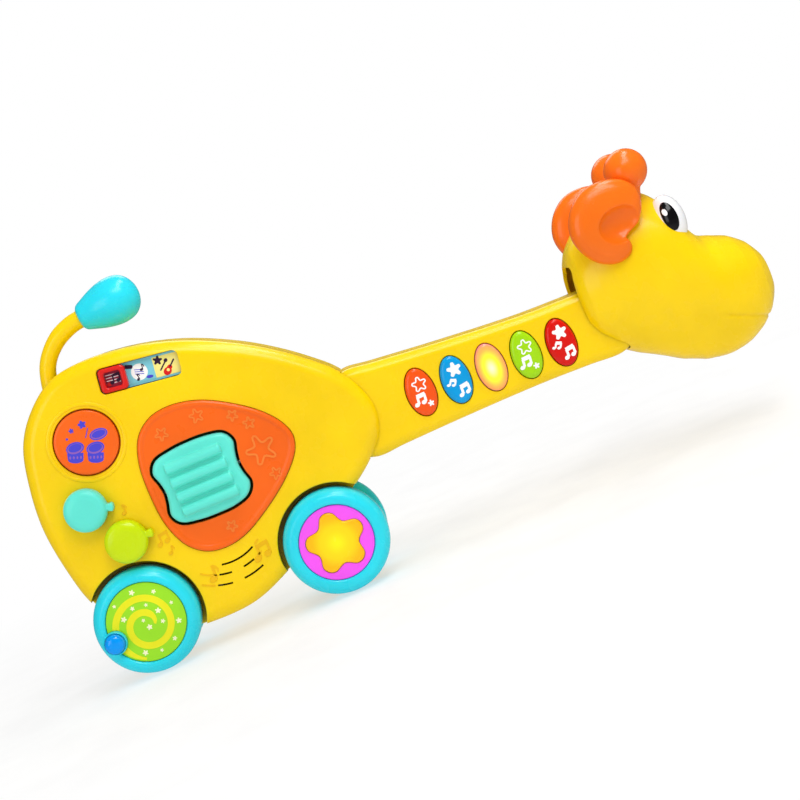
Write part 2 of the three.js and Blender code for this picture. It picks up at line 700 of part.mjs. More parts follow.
function keyStrip(yNear, yFar, height) {
  const [first, last] = [keyCentre(0), keyCentre(KEY_COUNT - 1)];
  const margin = 11;
  return prism(polygon([
    [first[0] - margin, first[1] - height / 2], [last[0] + margin, last[1] - height / 2],
    [last[0] + margin, last[1] + height / 2], [first[0] - margin, first[1] + height / 2],
  ]), yNear, yFar);
}

function keyMat() {
  const domes = [];
  for (let i = 0; i < KEY_COUNT; i++) {
    domes.push(disc(keyCentre(i), 4, KEY_BOARD_Y - 2, KEY_BOARD_Y - 1, 10));
  }
  return join(keyStrip(KEY_BOARD_Y - 1.2, KEY_BOARD_Y - 0.1, 24), ...domes);
}

function strumPlate() {
  const plate = prism(smoothShape(PLATE_OUTLINE, 30), -BODY_HALF - 1.9, -BODY_HALF + 0.7, 0.9, 1);
  return cut(plate, prism(smoothShape(PADDLE_OUTLINE, 24, -1.6), -FAR, 0));
}

const RIB_HEIGHTS = [79.6, 88.1, 96.6, 105.1];
const STRUM_AXLE_R = 1.5;
const STRUM_BORE_R = 1.75;

// A rod along the strum paddle's hinge line.
function strumRod(radius, length) {
  const rod = new THREE.CylinderGeometry(radius, radius, length, 10);
  rod.rotateZ(Math.PI / 2);
  rod.translate(STRUM[0], STRUM_AXLE_Y, STRUM[1]);
  return solidOf(rod);
}

function strumPaddle() {
  const crown = prism(smoothShape(PADDLE_OUTLINE, 24), -BODY_HALF - 4.2, -19.5, 1.6);
  const ribs = RIB_HEIGHTS.map((z) => {
    const geometry = new THREE.CapsuleGeometry(2.6, 30, 2, 8);
    geometry.rotateZ(Math.PI / 2);
    geometry.translate(STRUM[0], -BODY_HALF - 3.9, z);
    return solidOf(geometry);
  });
  const hinge = prism(roundedRectangle([STRUM[0], STRUM[1]], 30, 9, 2), -20, -14.6);
  const pushers = [-14, 14].map((dz) => {
    return box([-6, -20, STRUM[1] + dz - 2], [10, -15.4, STRUM[1] + dz + 2]);
  });
  return cut(join(crown, ...ribs, hinge, ...pushers), strumRod(STRUM_BORE_R, 80));
}

// Two legs behind the strum plate that carry the paddle's axle.
function strumBracket() {
  const [x, z] = STRUM;
  const foot = BOARD_Y - 0.1;
  const legs = [-24.4, 24.4].map((dx) => {
    return box([x + dx - 1.1, -19.9, z - 4], [x + dx + 1.1, foot, z + 4]);
  });
  const bridge = box([x - 25.5, foot - 1.6, z - 4], [x + 25.5, foot, z + 4]);
  return cut(join(...legs, bridge), strumRod(STRUM_BORE_R, 80));
}

function slidePoint(along, across = 0) {
  const turn = THREE.MathUtils.degToRad(SLOT.tilt);
  return [
    SLOT.at[0] + along * Math.cos(turn) - across * Math.sin(turn),
    SLOT.at[1] + along * Math.sin(turn) + across * Math.cos(turn),
  ];
}

const SLIDER_REST = -(SLOT.length - SLIDER_LENGTH) / 2 + 0.4;

// The picture strip behind the slot, on two feet that stand on the main board.
function tuneLabel() {
  const strip = prism(slotShape(1, -2.6), -18.9, -17.9);
  const feet = [-1, 1].map((end) => {
    return prism(roundedRectangle(slidePoint(end * 22.6), 3, 10, 1, SLOT.tilt), -18.5, BOARD_Y - 0.1);
  });
  return join(strip, ...feet);
}

function tuneSlider() {
  const at = slidePoint(SLIDER_REST);
  const frame = prism(
    roundedRectangle(at, SLIDER_LENGTH - 0.6, SLOT.height - 0.8, 2.4, SLOT.tilt), -BODY_HALF - 0.6, -19.6,
  );
  const flange = prism(
    roundedRectangle(
      slidePoint(SLIDER_REST, -0.6), SLIDER_LENGTH - 0.6, SLOT.height + 0.4, 2.4, SLOT.tilt,
    ),
    -20, -19.2,
  ); // it holds the slider under the slot's lower edge only
  const window = prism(roundedRectangle(at, 9.4, 8.6, 1.4, SLOT.tilt), -FAR, 0);
  const leg = prism(
    roundedRectangle(slidePoint(SLIDER_REST, -8), 6, 1.2, 0.4, SLOT.tilt), -19.6, BOARD_Y - 3.4,
  );
  return join(cut(join(frame, flange), window), leg);
}

const STAR_LAMP = [AXLE_X, WHEEL_R + 13];

function mainBoard() {
  const outline = polygon([
    [-80, 70], [36, 70], [44, 90], [36, 128], [20, 140], [20, 166], [-10, 172], [-38, 172],
    [-38, 148], [-60, 148], [-80, 128],
  ]);
  const board = prism(outline, BOARD_Y, BOARD_Y + BOARD_THICK);
  const domes = [
    disc([STRUM[0], STRUM[1] - 14], 3.4, BOARD_Y - 2.4, BOARD_Y + 0.5, 12),
    disc([STRUM[0], STRUM[1] + 14], 3.4, BOARD_Y - 2.4, BOARD_Y + 0.5, 12),
    disc(DRUM, 4, BOARD_Y - 2.6, BOARD_Y + 0.5, 12),
  ];
  const chip = box([10, BOARD_Y + 1, 100], [24, BOARD_Y + 3.2, 114]);
  return cut(
    join(board, ...domes, chip),
    ...SCREW_POSTS.map((at) => disc(at, POST_R + 2, -FAR, FAR, 12)),
  );
}

const SPEAKER = [1, 40];

function speakerBasket() {
  return turned(SPEAKER, [
    [0, -7], [10, -7], [10, -12.4], [16.4, -18.2], [16.4, -20], [14.8, -20], [14.8, -19],
    [7.4, -14.2], [0, -14.2],
  ], 16);
}

function speakerCone() {
  return turned(SPEAKER, [
    [0, -15.6], [4, -15.6], [5.4, -16.6], [14.4, -19.6], [14.4, -19.1], [5, -15.6], [3.6, -14.7],
    [0, -14.7],
  ], 16);
}

// ---------------------------------------------------------------- batteries

function cellCentres() {
  return [-1, 0, 1].map((n) => [BATTERY.at[0], BATTERY.y, BATTERY.at[1] + n * BATTERY.pitch]);
}

function batteryCell([x, y, z]) {
  const [length, diameter] = BATTERY.cell;
  const profile = [
    [0, -length / 2], [diameter / 2, -length / 2], [diameter / 2, length / 2 - 1.6],
    [2.7, length / 2 - 1.6], [2.7, length / 2], [0, length / 2],
  ].map(([r, along]) => new THREE.Vector2(r, along));
  const geometry = new THREE.LatheGeometry(profile, 12);
  geometry.rotateZ(-Math.PI / 2);
  geometry.translate(x, y, z);
  return solidOf(geometry);
}

function batteryTray() {
  const [x, z] = BATTERY.at;
  const half = [BATTERY_HATCH.width / 2 - 2.3, BATTERY_HATCH.height / 2 - 2.3];
  const tray = (wall, top) => box(
    [x - half[0] + wall, TRAY_WALL + wall, z - half[1] + wall],
    [x + half[0] - wall, top, z + half[1] - wall],
  );
  return cut(tray(0, BODY_HALF - WALL - 0.1), tray(TRAY_WALL, FAR));
}

function batteryDoor() {
  const boss = disc(DOOR_SCREW, DOOR_BOSS_R, 19.9, BODY_HALF, 12);
  return cut(
    join(doorPlate(0, BODY_HALF - 1.3, BODY_HALF), boss),
    disc(DOOR_SCREW, SCREW_R + 0.4, 5, FAR, 6),
    disc(DOOR_SCREW, SCREW_HEAD_R + 0.4, DOOR_SEAT, FAR, 10),
  );
}

// A screw along Y whose head faces the back.
function screw(at, seat, tip) {
  return turned(at, [
    [0, tip], [SCREW_R - 0.25, tip + 1.5], [SCREW_R - 0.25, seat], [SCREW_HEAD_R, seat + 0.1],
    [SCREW_HEAD_R, seat + 1.2], [SCREW_HEAD_R - 0.9, seat + 2], [0, seat + 2],
  ], 8);
}

// ---------------------------------------------------------------- assembly

const toy = new THREE.Group();
const add = (name, solid, material) => toy.add(part(name, solid, material));

const shell = bodyShell();
add("body_front_shell", bodyFrontShell(shell), YELLOW);
add("body_rear_shell", bodyRearShell(shell), YELLOW);

const neck = neckShell();
add("neck_front_shell", neckFrontShell(neck), YELLOW);
add("neck_rear_shell", rearHalf(neck), YELLOW);

const head = headShells();
const earSolid = ear(head.outer);
const hornSolid = horn(head.outer);
const eyeSolid = eye(head.outer, hornSolid);
add("head_front_shell", head.front, YELLOW);
add("head_rear_shell", head.rear, YELLOW);
add("ear_front", earSolid, EAR_ORANGE);
add("ear_rear", mirrored(earSolid), EAR_ORANGE);
add("horn_front", hornSolid, EAR_ORANGE);
add("horn_rear", mirrored(hornSolid), EAR_ORANGE);
add("eye_front", eyeSolid, WHITE);
add("eye_rear", mirrored(eyeSolid), WHITE);
add("head_pin", disc(HEAD_PIVOT, HEAD_PIN_R, -30.5, 30.5, 14), WHITE);

add("tail_arm", tailArm(), YELLOW);
add("tail_tip", tailTip(), CYAN);
add("tail_pin", disc(TAIL_PIVOT, PIN_R, -13.5, 13.5, 14), STEEL);

add("scratch_wheel", scratchWheel(), CYAN);
add("spiral_disc", spiralDisc(), SPIRAL_GREEN);
add("peg_bead", pegBead(), BEAD_BLUE);
add("rear_wheel_back", mirrored(wheelSolid(-1, SPIRAL_R)), CYAN);
add("rear_hub_cap", hubCap(-1), CYAN);
add("rear_axle", disc(axlePoint(-1), AXLE_R, -WHEEL_OUTER + 3.2, WHEEL_OUTER - 3.2, 14), STEEL);
add("star_wheel", wheelSolid(1, STAR_DISC_R), CYAN);
add("star_disc", starDisc(), MAGENTA);
add("star_lens", starLens(), AMBER);
add("front_wheel_back", mirrored(wheelSolid(1, SPIRAL_R)), CYAN);
add("front_hub_cap", hubCap(1), CYAN);
add("front_axle", disc(axlePoint(1), AXLE_R, -WHEEL_OUTER + 3.2, WHEEL_OUTER - 3.2, 14), STEEL);
add("star_lamp", disc(STAR_LAMP, 2.5, -12, -6, 12), WHITE);

add("strum_plate", strumPlate(), ORANGE);
add("strum_paddle", strumPaddle(), TURQUOISE);
add("strum_axle", strumRod(STRUM_AXLE_R, 52), STEEL);
add("strum_bracket", strumBracket(), DARK);

add("drum_button", drumButton(), ORANGE);
add("volume_knob", knob(VOLUME_KNOB), TURQUOISE);
add("mode_knob", knob(MODE_KNOB), LIME);
add("volume_switch", knobSwitch(VOLUME_KNOB.at), DARK);
add("mode_switch", knobSwitch(MODE_KNOB.at), DARK);
add("tune_slider", tuneSlider(), RED);
add("tune_label", tuneLabel(), LABEL);

const KEY_COLOURS = [0xf4601c, 0x0a93dc, 0xf6a17c, 0x9bdd1f, 0xe01a12];
for (let i = 0; i < KEY_COUNT; i++) add(`key_${i + 1}`, key(i), plastic(KEY_COLOURS[i], 0.2));
add("key_mat", keyMat(), SILICONE);
add("key_board", keyStrip(KEY_BOARD_Y, KEY_BOARD_Y + BOARD_THICK, 26), BOARD);

add("main_board", mainBoard(), BOARD);
add("speaker_basket", speakerBasket(), STEEL);
add("speaker_cone", speakerCone(), DARK);

add("battery_tray", batteryTray(), DARK);
cellCentres().forEach((at, i) => add(`battery_cell_${i + 1}`, batteryCell(at), CELL));
add("battery_door", batteryDoor(), YELLOW);
SCREW_POSTS.forEach((at, i) => add(`body_screw_${i + 1}`, screw(at, POST_SEAT + 0.1, -9), STEEL));
add("battery_door_screw", screw(DOOR_SCREW, DOOR_SEAT + 0.1, 12.5), STEEL);

// The row's origin is under the middle of the toy's whole length.
const LENGTH_MIDDLE = 126.9;
toy.position.x = -LENGTH_MIDDLE;
const guitar = new THREE.Group();
guitar.add(toy);

export default guitar;
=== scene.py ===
"""Looks of the toddler's giraffe guitar: fine shells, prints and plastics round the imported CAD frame.

Shapes are drawn in millimetres, with X from the tail to the nose, Z up and the play face towards
-Y. The drawing starts on the floor midway between the axles, and the frame's own axles say where
that point is in the row frame.
"""

from math import cos, degrees, exp, hypot, pi, radians, sin, sqrt

import bmesh
import bpy
from mathutils import Matrix, Vector


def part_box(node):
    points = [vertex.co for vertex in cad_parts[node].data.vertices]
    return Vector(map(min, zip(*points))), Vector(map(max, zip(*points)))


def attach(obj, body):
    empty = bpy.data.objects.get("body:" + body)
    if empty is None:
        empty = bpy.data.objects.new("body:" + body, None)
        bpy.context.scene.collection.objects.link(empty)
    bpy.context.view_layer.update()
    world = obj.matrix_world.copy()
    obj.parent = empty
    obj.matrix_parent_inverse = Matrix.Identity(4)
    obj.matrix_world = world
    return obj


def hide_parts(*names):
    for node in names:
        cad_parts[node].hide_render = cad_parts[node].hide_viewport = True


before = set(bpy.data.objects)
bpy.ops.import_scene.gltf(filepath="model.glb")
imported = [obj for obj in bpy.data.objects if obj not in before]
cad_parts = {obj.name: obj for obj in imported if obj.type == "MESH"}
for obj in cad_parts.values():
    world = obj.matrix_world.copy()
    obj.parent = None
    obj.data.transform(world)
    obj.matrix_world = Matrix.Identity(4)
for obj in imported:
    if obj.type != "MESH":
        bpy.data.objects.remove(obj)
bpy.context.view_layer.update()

MM = 0.001
FAR = 60  # beyond either side face


# ---- places taken from the frame

def centre(node):
    low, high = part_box(node)
    return (low + high) / 2


# Row X of the drawing's origin.
DRAWING_X = (centre("rear_axle").x + centre("front_axle").x) / 2


def row(x, y, z):
    """A drawing point in the row frame, in metres."""
    return (x * MM + DRAWING_X, y * MM, z * MM)


def flat(node):
    """A node's centre as (x, z) in the drawing's millimetres."""
    c = centre(node)
    return ((c.x - DRAWING_X) / MM, c.z / MM)


def low_y(node):
    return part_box(node)[0].y / MM


def around(count):
    """(cosine, sine) of count even steps of one turn."""
    angles = [2 * pi * k / count for k in range(count)]
    return [(cos(a), sin(a)) for a in angles]


WHEELS = REAR_WHEEL, FRONT_WHEEL = flat("rear_axle"), flat("front_axle")
BODY_FACE = low_y("body_front_shell")
NECK_FACE = low_y("neck_front_shell")
BODY_HALF = -BODY_FACE
NECK_HALF = -NECK_FACE
PLATE_FACE = low_y("strum_plate")
DRUM, DRUM_FACE = flat("drum_button"), low_y("drum_button")
KEYS = [flat(f"key_{i}") for i in range(1, 6)]
KEY_FACE = low_y("key_1")
BEAD = flat("peg_bead")
PARTING = 0.1
WALL = 2.4


# ---- curves

def catmull(points, closed, per_span=24):
    """Points of a smooth curve through the given points, with knots spaced centripetally."""

    def between(a, b, start, end, t):
        return a * ((end - t) / (end - start)) + b * ((t - start) / (end - start))

    pts = [Vector(p) for p in points]
    if closed:
        pts = pts[-1:] + pts + pts[:2]
    else:
        pts = [2 * pts[0] - pts[1], *pts, 2 * pts[-1] - pts[-2]]
    out = []
    for p0, p1, p2, p3 in zip(pts, pts[1:], pts[2:], pts[3:]):
        t1 = (p1 - p0).length ** 0.5
        t2 = t1 + (p2 - p1).length ** 0.5
        t3 = t2 + (p3 - p2).length ** 0.5
        for k in range(per_span):
            t = t1 + (t2 - t1) * k / per_span
            a1 = between(p0, p1, 0, t1, t)
            a2 = between(p1, p2, t1, t2, t)
            a3 = between(p2, p3, t2, t3, t)
            out.append(between(between(a1, a2, 0, t2, t), between(a2, a3, t1, t3, t), t1, t2, t))
    return out if closed else out + [pts[-2]]


def respaced(points, count, closed):
    """The same curve with count points at even distances."""
    pts = points + points[:1] if closed else points
    reach = [0.0]
    for a, b in zip(pts, pts[1:]):
        reach.append(reach[-1] + (b - a).length)
    out, k = [], 0
    for i in range(count):
        goal = reach[-1] * i / (count if closed else count - 1)
        while k < len(reach) - 2 and reach[k + 1] < goal:
            k += 1
        share = (goal - reach[k]) / (reach[k + 1] - reach[k])
        out.append(pts[k].lerp(pts[k + 1], min(share, 1)))
    return out


def curve(points, per_span):
    return [tuple(p) for p in catmull(points, False, per_span)]


def smooth_loop(points, count):
    return [tuple(p) for p in respaced(catmull(points, True), count, True)]


def inset_loop(loop, inset):
    """A loop of (x, z) points moved inwards. The loop runs anticlockwise from the play face."""
    n = len(loop)
    out = []
    for i, (x, z) in enumerate(loop):
        (ax, az), (bx, bz) = loop[i - 1], loop[(i + 1) % n]
        length = hypot(bx - ax, bz - az)
        out.append((x - inset * (bz - az) / length, z + inset * (bx - ax) / length))
    return out


def placed(at, size, tilt, u, v):
    """The point (u, v) of a local frame that sits at a place, scaled and turned by tilt degrees."""
    c, s = cos(radians(tilt)), sin(radians(tilt))
    return (at[0] + size * (u * c - v * s), at[1] + size * (u * s + v * c))


def ellipse(at, a, b, tilt=0.0, count=32):
    return [placed(at, 1, tilt, a * c, b * s) for c, s in around(count)]


def circle(at, radius, count=64):
    return ellipse(at, radius, radius, 0, count)


def rounded_box(at, width, height, radius, tilt=0.0, steps=6):
    points = []
    for sx, sz, start in ((1, -1, -90), (1, 1, 0), (-1, 1, 90), (-1, -1, 180)):
        for k in range(steps + 1):
            angle = radians(start + 90 * k / steps)
            u = sx * (width / 2 - radius) + radius * cos(angle)
            v = sz * (height / 2 - radius) + radius * sin(angle)
            points.append(placed(at, 1, tilt, u, v))
    return points


def egg(at, half_width, half_height, count=72):
    x, z = at
    return [(x + half_width * c * (1 - 0.04 * s), z + half_height * s) for c, s in around(count)]


def star(at, outer, inner, blunt, steps=5, turn=0.0):
    """A five-pointed star with round points and notches."""
    tip = [(0.95 * outer, -degrees(blunt)), (outer, 0), (0.95 * outer, degrees(blunt)), (inner, 36)]
    corners = [placed(at, r, 90 + i * 72 + turn + away, 1, 0) for i in range(5) for r, away in tip]
    return smooth_loop(corners, 20 * steps)


# ---- outlines

BODY = smooth_loop([
    (-93, 99), (-89, 66.5), (-84.9, 51.2), (-72, 27), (-50, 17), (-22, 13.7), (2, 15.2),
    (24.7, 23.8), (52, 39), (79.5, 54.8), (93, 65), (103.9, 76.5), (107.6, 92), (103.5, 107),
    (94.7, 120.3), (84.6, 129.9), (69.4, 142.1), (49, 155.3), (18.6, 169.5), (-10, 177),
    (-37.2, 179.1), (-57, 175.4), (-74, 162.5), (-84.4, 147.5), (-90.3, 126),
], 260)
NECK = smooth_loop([
    (98, 64.4), (115, 65.1), (150, 66.2), (200, 66.9), (230, 66.2), (250, 65.6), (258.4, 69.5),
    (261, 78), (261, 93), (258.4, 101.8), (250, 106.2), (230, 106.9), (203, 107.7), (151, 112),
    (115, 115.7), (98, 117.4), (89.5, 113.6), (87, 105), (87, 77), (89.5, 68.4),
], 200)
PLATE = smooth_loop([
    (-28.6, 95), (-27, 76), (-21, 61.5), (-12, 53.8), (-1, 51.6), (12, 54), (35, 67), (49, 78.5),
    (56.5, 88), (58.4, 96), (55.5, 104.5), (46, 116), (25, 130.5), (12, 135.7), (-1, 137.4),
    (-12, 135.3), (-21.5, 128), (-27, 115),
], 180)
PADDLE = smooth_loop([
    (-22, 80), (-18.5, 74.5), (-8, 71.8), (3, 71.2), (14, 71.8), (22.5, 74.8), (26, 80.5),
    (24.6, 87), (23.9, 93), (24.9, 100), (26.2, 106), (22.8, 111.8), (14, 114.2), (3, 114.8),
    (-8, 114.1), (-18.8, 111.4), (-22.4, 105.5), (-20.8, 99.5), (-19.8, 93), (-20.6, 87),
], 180)
EAR = smooth_loop([
    (243.6, 139), (246, 128), (253, 119), (263, 115), (270.5, 116.8), (273.6, 121.5), (272, 126.3),
    (275.4, 129), (281.5, 132), (286.5, 139.5), (287.5, 149), (282, 157), (271, 161), (258, 159.5),
    (248, 151),
], 120)
HEAD_STATIONS = [  # x, lowest z, highest z, half width
    (236.6, 92, 110, 14), (238.2, 83, 122, 22), (242, 76, 130.5, 26), (250, 68, 139, 29.5),
    (260, 60.8, 146, 33), (272, 54, 150, 35.5), (284, 46.8, 150.5, 37), (294, 42.5, 146, 37.5),
    (302, 40.6, 136.5, 37.2), (308, 40, 122, 36.6), (314, 40.5, 112, 36), (322, 42.3, 108.3, 34.5),
    (331, 47, 104.5, 31), (339, 54, 98, 25), (344.6, 63, 89.5, 16.5), (346.8, 72, 82, 7),
]
HEAD_POWER = 2.4
HEAD_PIVOT = flat("head_pin")
SLOT_AT, SLOT_TILT = (-7.2, 161.3), -7.7
SCREWS = [flat(f"body_screw_{i}") for i in range(1, 5)]
TAIL_PATH = [
    (-60.5, 0, 162), (-60, 0, 172), (-56, 0, 185), (-46.5, 0, 195.3), (-36, 0, 200.4), (-26.5, 0, 202.2),
]


# ---- forms: (vertices in mm, faces)

def stacked(rings, closed_stack=False):
    """A closed skin over rings of equal length, capped at both ends or joined into a loop."""
    n, total = len(rings[0]), len(rings[0]) * len(rings)
    faces = []
    for a in range(0, total if closed_stack else total - n, n):
        b = (a + n) % total
        faces += [(a + i, a + (i + 1) % n, b + (i + 1) % n, b + i) for i in range(n)]
    if not closed_stack:
        faces += [tuple(range(n)), tuple(reversed(range(total - n, total)))]
    return [p for ring in rings for p in ring], faces


def rounding(y, radius, steps):
    """(y, inset) pairs of a rounded edge that starts at face y; a negative radius goes towards -Y."""
    angles = [pi / 2 * k / steps for k in range(steps + 1)] if radius else [pi / 2]
    return [(y + radius * (1 - cos(a)), abs(radius) * (1 - sin(a))) for a in angles]


def edges(near, far, near_round, far_round, steps=6, middle=()):
    return rounding(near, near_round, steps) + [*middle] + rounding(far, -far_round, steps)[::-1]


def slab(loop, profile):
    """A solid whose outline follows loop, moved inwards at each (y, inset) of its profile."""
    return stacked([[(x, y, z) for x, z in inset_loop(loop, inset)] for y, inset in profile])


def plug(loop, near=-FAR, far=FAR):
    """A straight prism of an outline, from y near to y far."""
    return slab(loop, [(near, 0), (far, 0)])


def lathe(at, profile, sides=72):
    """A (radius, y) profile turned about the Y axis through at."""
    rings = [[(x, y, z) for x, z in circle(at, radius, sides)] for radius, y in profile if radius]
    return stacked(rings, closed_stack=profile[0][0] > 0)


def ball(at, radii, sides=40, along=24):
    rings = []
    for k in range(1, along):
        lat = pi * k / along
        rx, ry = radii[0] * sin(lat), radii[1] * sin(lat)
        z = at[2] + radii[2] * cos(lat)
        rings.append([(at[0] + rx * c, at[1] + ry * s, z) for c, s in around(sides)])
    return stacked(rings)


def block(low, high):
    (x0, y0, z0), (x1, y1, z1) = low, high
    rings = [[(x0, y0, z), (x1, y0, z), (x1, y1, z), (x0, y1, z)] for z in (z0, z1)]
    return stacked(rings)


def sweep(path, radius_at, sides=28):
    """A round bar along a 3-D path; radius_at gives its radius at a share of the way."""
    pts = [Vector(p) for p in path]
    last = len(pts) - 1
    side = (pts[1] - pts[0]).cross(Vector((0, 1, 0)))
    rings = []
    for i, p in enumerate(pts):
        ahead = (pts[min(i + 1, last)] - pts[max(i - 1, 0)]).normalized()
        side = (side - ahead * side.dot(ahead)).normalized()
        other = ahead.cross(side)
        r = radius_at(i / last)
        rings.append([tuple(p + side * (r * c) + other * (r * s)) for c, s in around(sides)])
    return stacked(rings)


def ribbon(points, width, y, thickness, closed=False):
    """A flat band in the (x, z) plane along points, standing out from y towards the viewer."""
    n = len(points)
    rings = []
    for i, (x, z) in enumerate(points):
        a = points[i - 1] if closed or i > 0 else points[i]
        b = points[(i + 1) % n] if closed or i < n - 1 else points[i]
        wide = width(i / max(n - 1, 1)) if callable(width) else width
        half = wide / 2 / hypot(b[0] - a[0], b[1] - a[1])
        dx, dz, top = (a[1] - b[1]) * half, (b[0] - a[0]) * half, y - thickness
        left, right = (x - dx, z - dz), (x + dx, z + dz)
        rings.append([(u, h, v) for (u, v), h in ((left, y), (right, y), (right, top), (left, top))])
    return stacked(rings, closed_stack=closed)


def merged(*forms):
    verts, faces = [], []
    for v, f in forms:
        base = len(verts)
        verts += v
        faces += [tuple(base + i for i in face) for face in f]
    return verts, faces


def mirrored(form):
    verts, faces = form
    return [(x, -y, z) for x, y, z in verts], [tuple(reversed(f)) for f in faces]


def pillow(loop, middle, far, rim, near, power, steps=9):
    """A puffed form: loop is its widest ring, at y = rim, and it closes in domes at near and far."""
    cx, cz = middle
    domes = []
    for end in (near, far):
        dome = []
        for k in range(steps):
            share = sin(pi / 2 * (k + 0.35) / steps)
            y = rim + (end - rim) * (1 - share**power) ** (1 / power)
            dome.append([(cx + (x - cx) * share, y, cz + (z - cz) * share) for x, z in loop])
        domes.append(dome)
    return stacked(domes[0] + [[(x, rim, z) for x, z in loop]] + domes[1][::-1])


def raised(loop, y, lift):
    """A thin raised print or embossing with its outline, from y towards the viewer."""
    return slab(loop, [(y, 0), (y - lift * 0.6, 0), (y - lift, min(lift * 0.5, 0.15))])


# Heads as (u, v, half width, half height); strokes as (points, first width, last width, height).
NOTE = (
    [(-0.14, -0.4, 0.3, 0.23)],
    [
        ([(0.1, -0.38), (0.1, 0.56)], 1, 1, 0.9),
        ([(0.1, 0.5), (0.3, 0.36), (0.42, 0.16), (0.38, -0.02)], 1.3, 0.6, 0.8),
    ],
)
NOTE_PAIR = (
    [(-0.42, -0.42, 0.28, 0.22), (0.36, -0.3, 0.28, 0.22)],
    [
        ([(-0.2, -0.38), (-0.2, 0.42)], 1, 1, 0.9), ([(0.58, -0.26), (0.58, 0.56)], 1, 1, 0.9),
        ([(-0.28, 0.4), (0.66, 0.54)], 1.7, 1.7, 0.8),
    ],
)


def notes(kind, at, size, y, lift, tilt=0.0, stroke=0.17):
    """One music note with its flag, or two joined by a beam, as a list of raised forms."""
    forms = []
    for u, v, a, b in kind[0]:
        head = ellipse(placed(at, size, tilt, u, v), a * size, b * size, tilt + 20)
        forms.append(raised(head, y, lift))
    for points, first, last, high in kind[1]:
        line = [placed(at, size, tilt, u, v) for u, v in points]
        wide = lambda t: stroke * size * (first + (last - first) * t)
        forms.append(ribbon(line, wide, y, lift * high))
    return forms


# ---- objects and booleans

def linked(name, data):
    obj = bpy.data.objects.new(name, data)
    bpy.context.scene.collection.objects.link(obj)
    return obj


def make(name, form):
    """A mesh object in the row frame from a form in the drawing's millimetres."""
    verts, faces = form
    mesh = bpy.data.meshes.new(name)
    mesh.from_pydata([row(*p) for p in verts], [], faces)
    bm = bmesh.new()
    bm.from_mesh(mesh)
    bmesh.ops.recalc_face_normals(bm, faces=bm.faces)
    bm.to_mesh(mesh)
    bm.free()
    return linked(name, mesh)


def apply_modifiers(obj):
    bpy.context.view_layer.update()
    graph = bpy.context.evaluated_depsgraph_get()
    old, obj.data = obj.data, bpy.data.meshes.new_from_object(obj.evaluated_get(graph))
    obj.modifiers.clear()
    bpy.data.meshes.remove(old)
    return obj


def combine(obj, operation, forms):
    for form in forms:
        tool = make("tool", form) if isinstance(form, tuple) else form
        modifier = obj.modifiers.new("boolean", "BOOLEAN")
        modifier.operation = operation
        modifier.solver = "MANIFOLD"
        modifier.object = tool
        apply_modifiers(obj)
        bpy.data.objects.remove(tool)
    return obj


def carve(obj, *forms):
    return combine(obj, "DIFFERENCE", forms)


def fuse(obj, *forms):
    return combine(obj, "UNION", forms)


def trim(obj, *forms):
    return combine(obj, "INTERSECT", forms)


def soften(obj, voxel, rounds, factor=0.5):
    """Melts the joints of a fused form into one skin."""
    remesh = obj.modifiers.new("remesh", "REMESH")
    remesh.mode = "VOXEL"
    remesh.voxel_size = voxel * MM
    smooth = obj.modifiers.new("smooth", "SMOOTH")
    smooth.factor = factor
    smooth.iterations = rounds
    return apply_modifiers(obj)


def dress(body, material, *pieces, slot=None, sharp=32):
    """Finishes pieces of one body and look; each is an object and the CAD nodes it replaces."""
    for obj, *nodes in pieces:
        obj.data.shade_smooth()
        obj.data.set_sharp_from_angle(angle=radians(sharp))
        weighted = obj.modifiers.new("normals", "WEIGHTED_NORMAL")
        weighted.keep_sharp = True
        weighted.weight = 80
        obj.data.materials.clear()
        obj.data.materials.append(material)
        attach(obj, body)
        if nodes:
            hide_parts(*nodes)


# ---- materials

def linear(colour):
    """Linear light from an 8-bit screen colour."""
    shares = [c / 255 for c in colour]
    return (*[c / 12.92 if c <= 0.04045 else ((c + 0.055) / 1.055) ** 2.4 for c in shares], 1)


def feed(tree, socket, value):
    """Links another node's output to an input, or sets the input's value."""
    if hasattr(value, "links"):
        tree.links.new(value, socket)
    else:
        socket.default_value = value


def wired(tree, kind, *values, operation=None, **inputs):
    """A node with its inputs fed, the first ones by place and the others by name."""
    made = tree.nodes.new("ShaderNode" + kind)
    if operation:
        made.operation = operation
    for socket, value in zip(made.inputs, values):
        feed(tree, socket, value)
    for name, value in inputs.items():
        feed(tree, made.inputs[name.replace("_", " ")], value)
    return made


def mixed(tree, factor, a, b):
    """A colour between a and b, each a colour or a socket, as a socket."""
    mix = tree.nodes.new("ShaderNodeMix")
    mix.data_type = "RGBA"
    for place, value in ((0, factor), (6, a), (7, b)):
        feed(tree, mix.inputs[place], value)
    return mix.outputs[2]


def here(tree):
    """The shaded point's place on its object, in metres."""
    return wired(tree, "TexCoord").outputs["Object"]


def noise(tree, scale, detail=3.0):
    return wired(tree, "TexNoise", Vector=here(tree), Scale=scale, Detail=detail).outputs["Fac"]


def ranged(tree, value, low, high, from_low=0.3, from_high=0.7):
    limits = {"From_Min": from_low, "From_Max": from_high, "To_Min": low, "To_Max": high}
    return wired(tree, "MapRange", Value=value, **limits).outputs["Result"]


def shade(tree, look):
    for socket, value in look.items():
        feed(tree, tree.nodes["Principled BSDF"].inputs[socket], value)


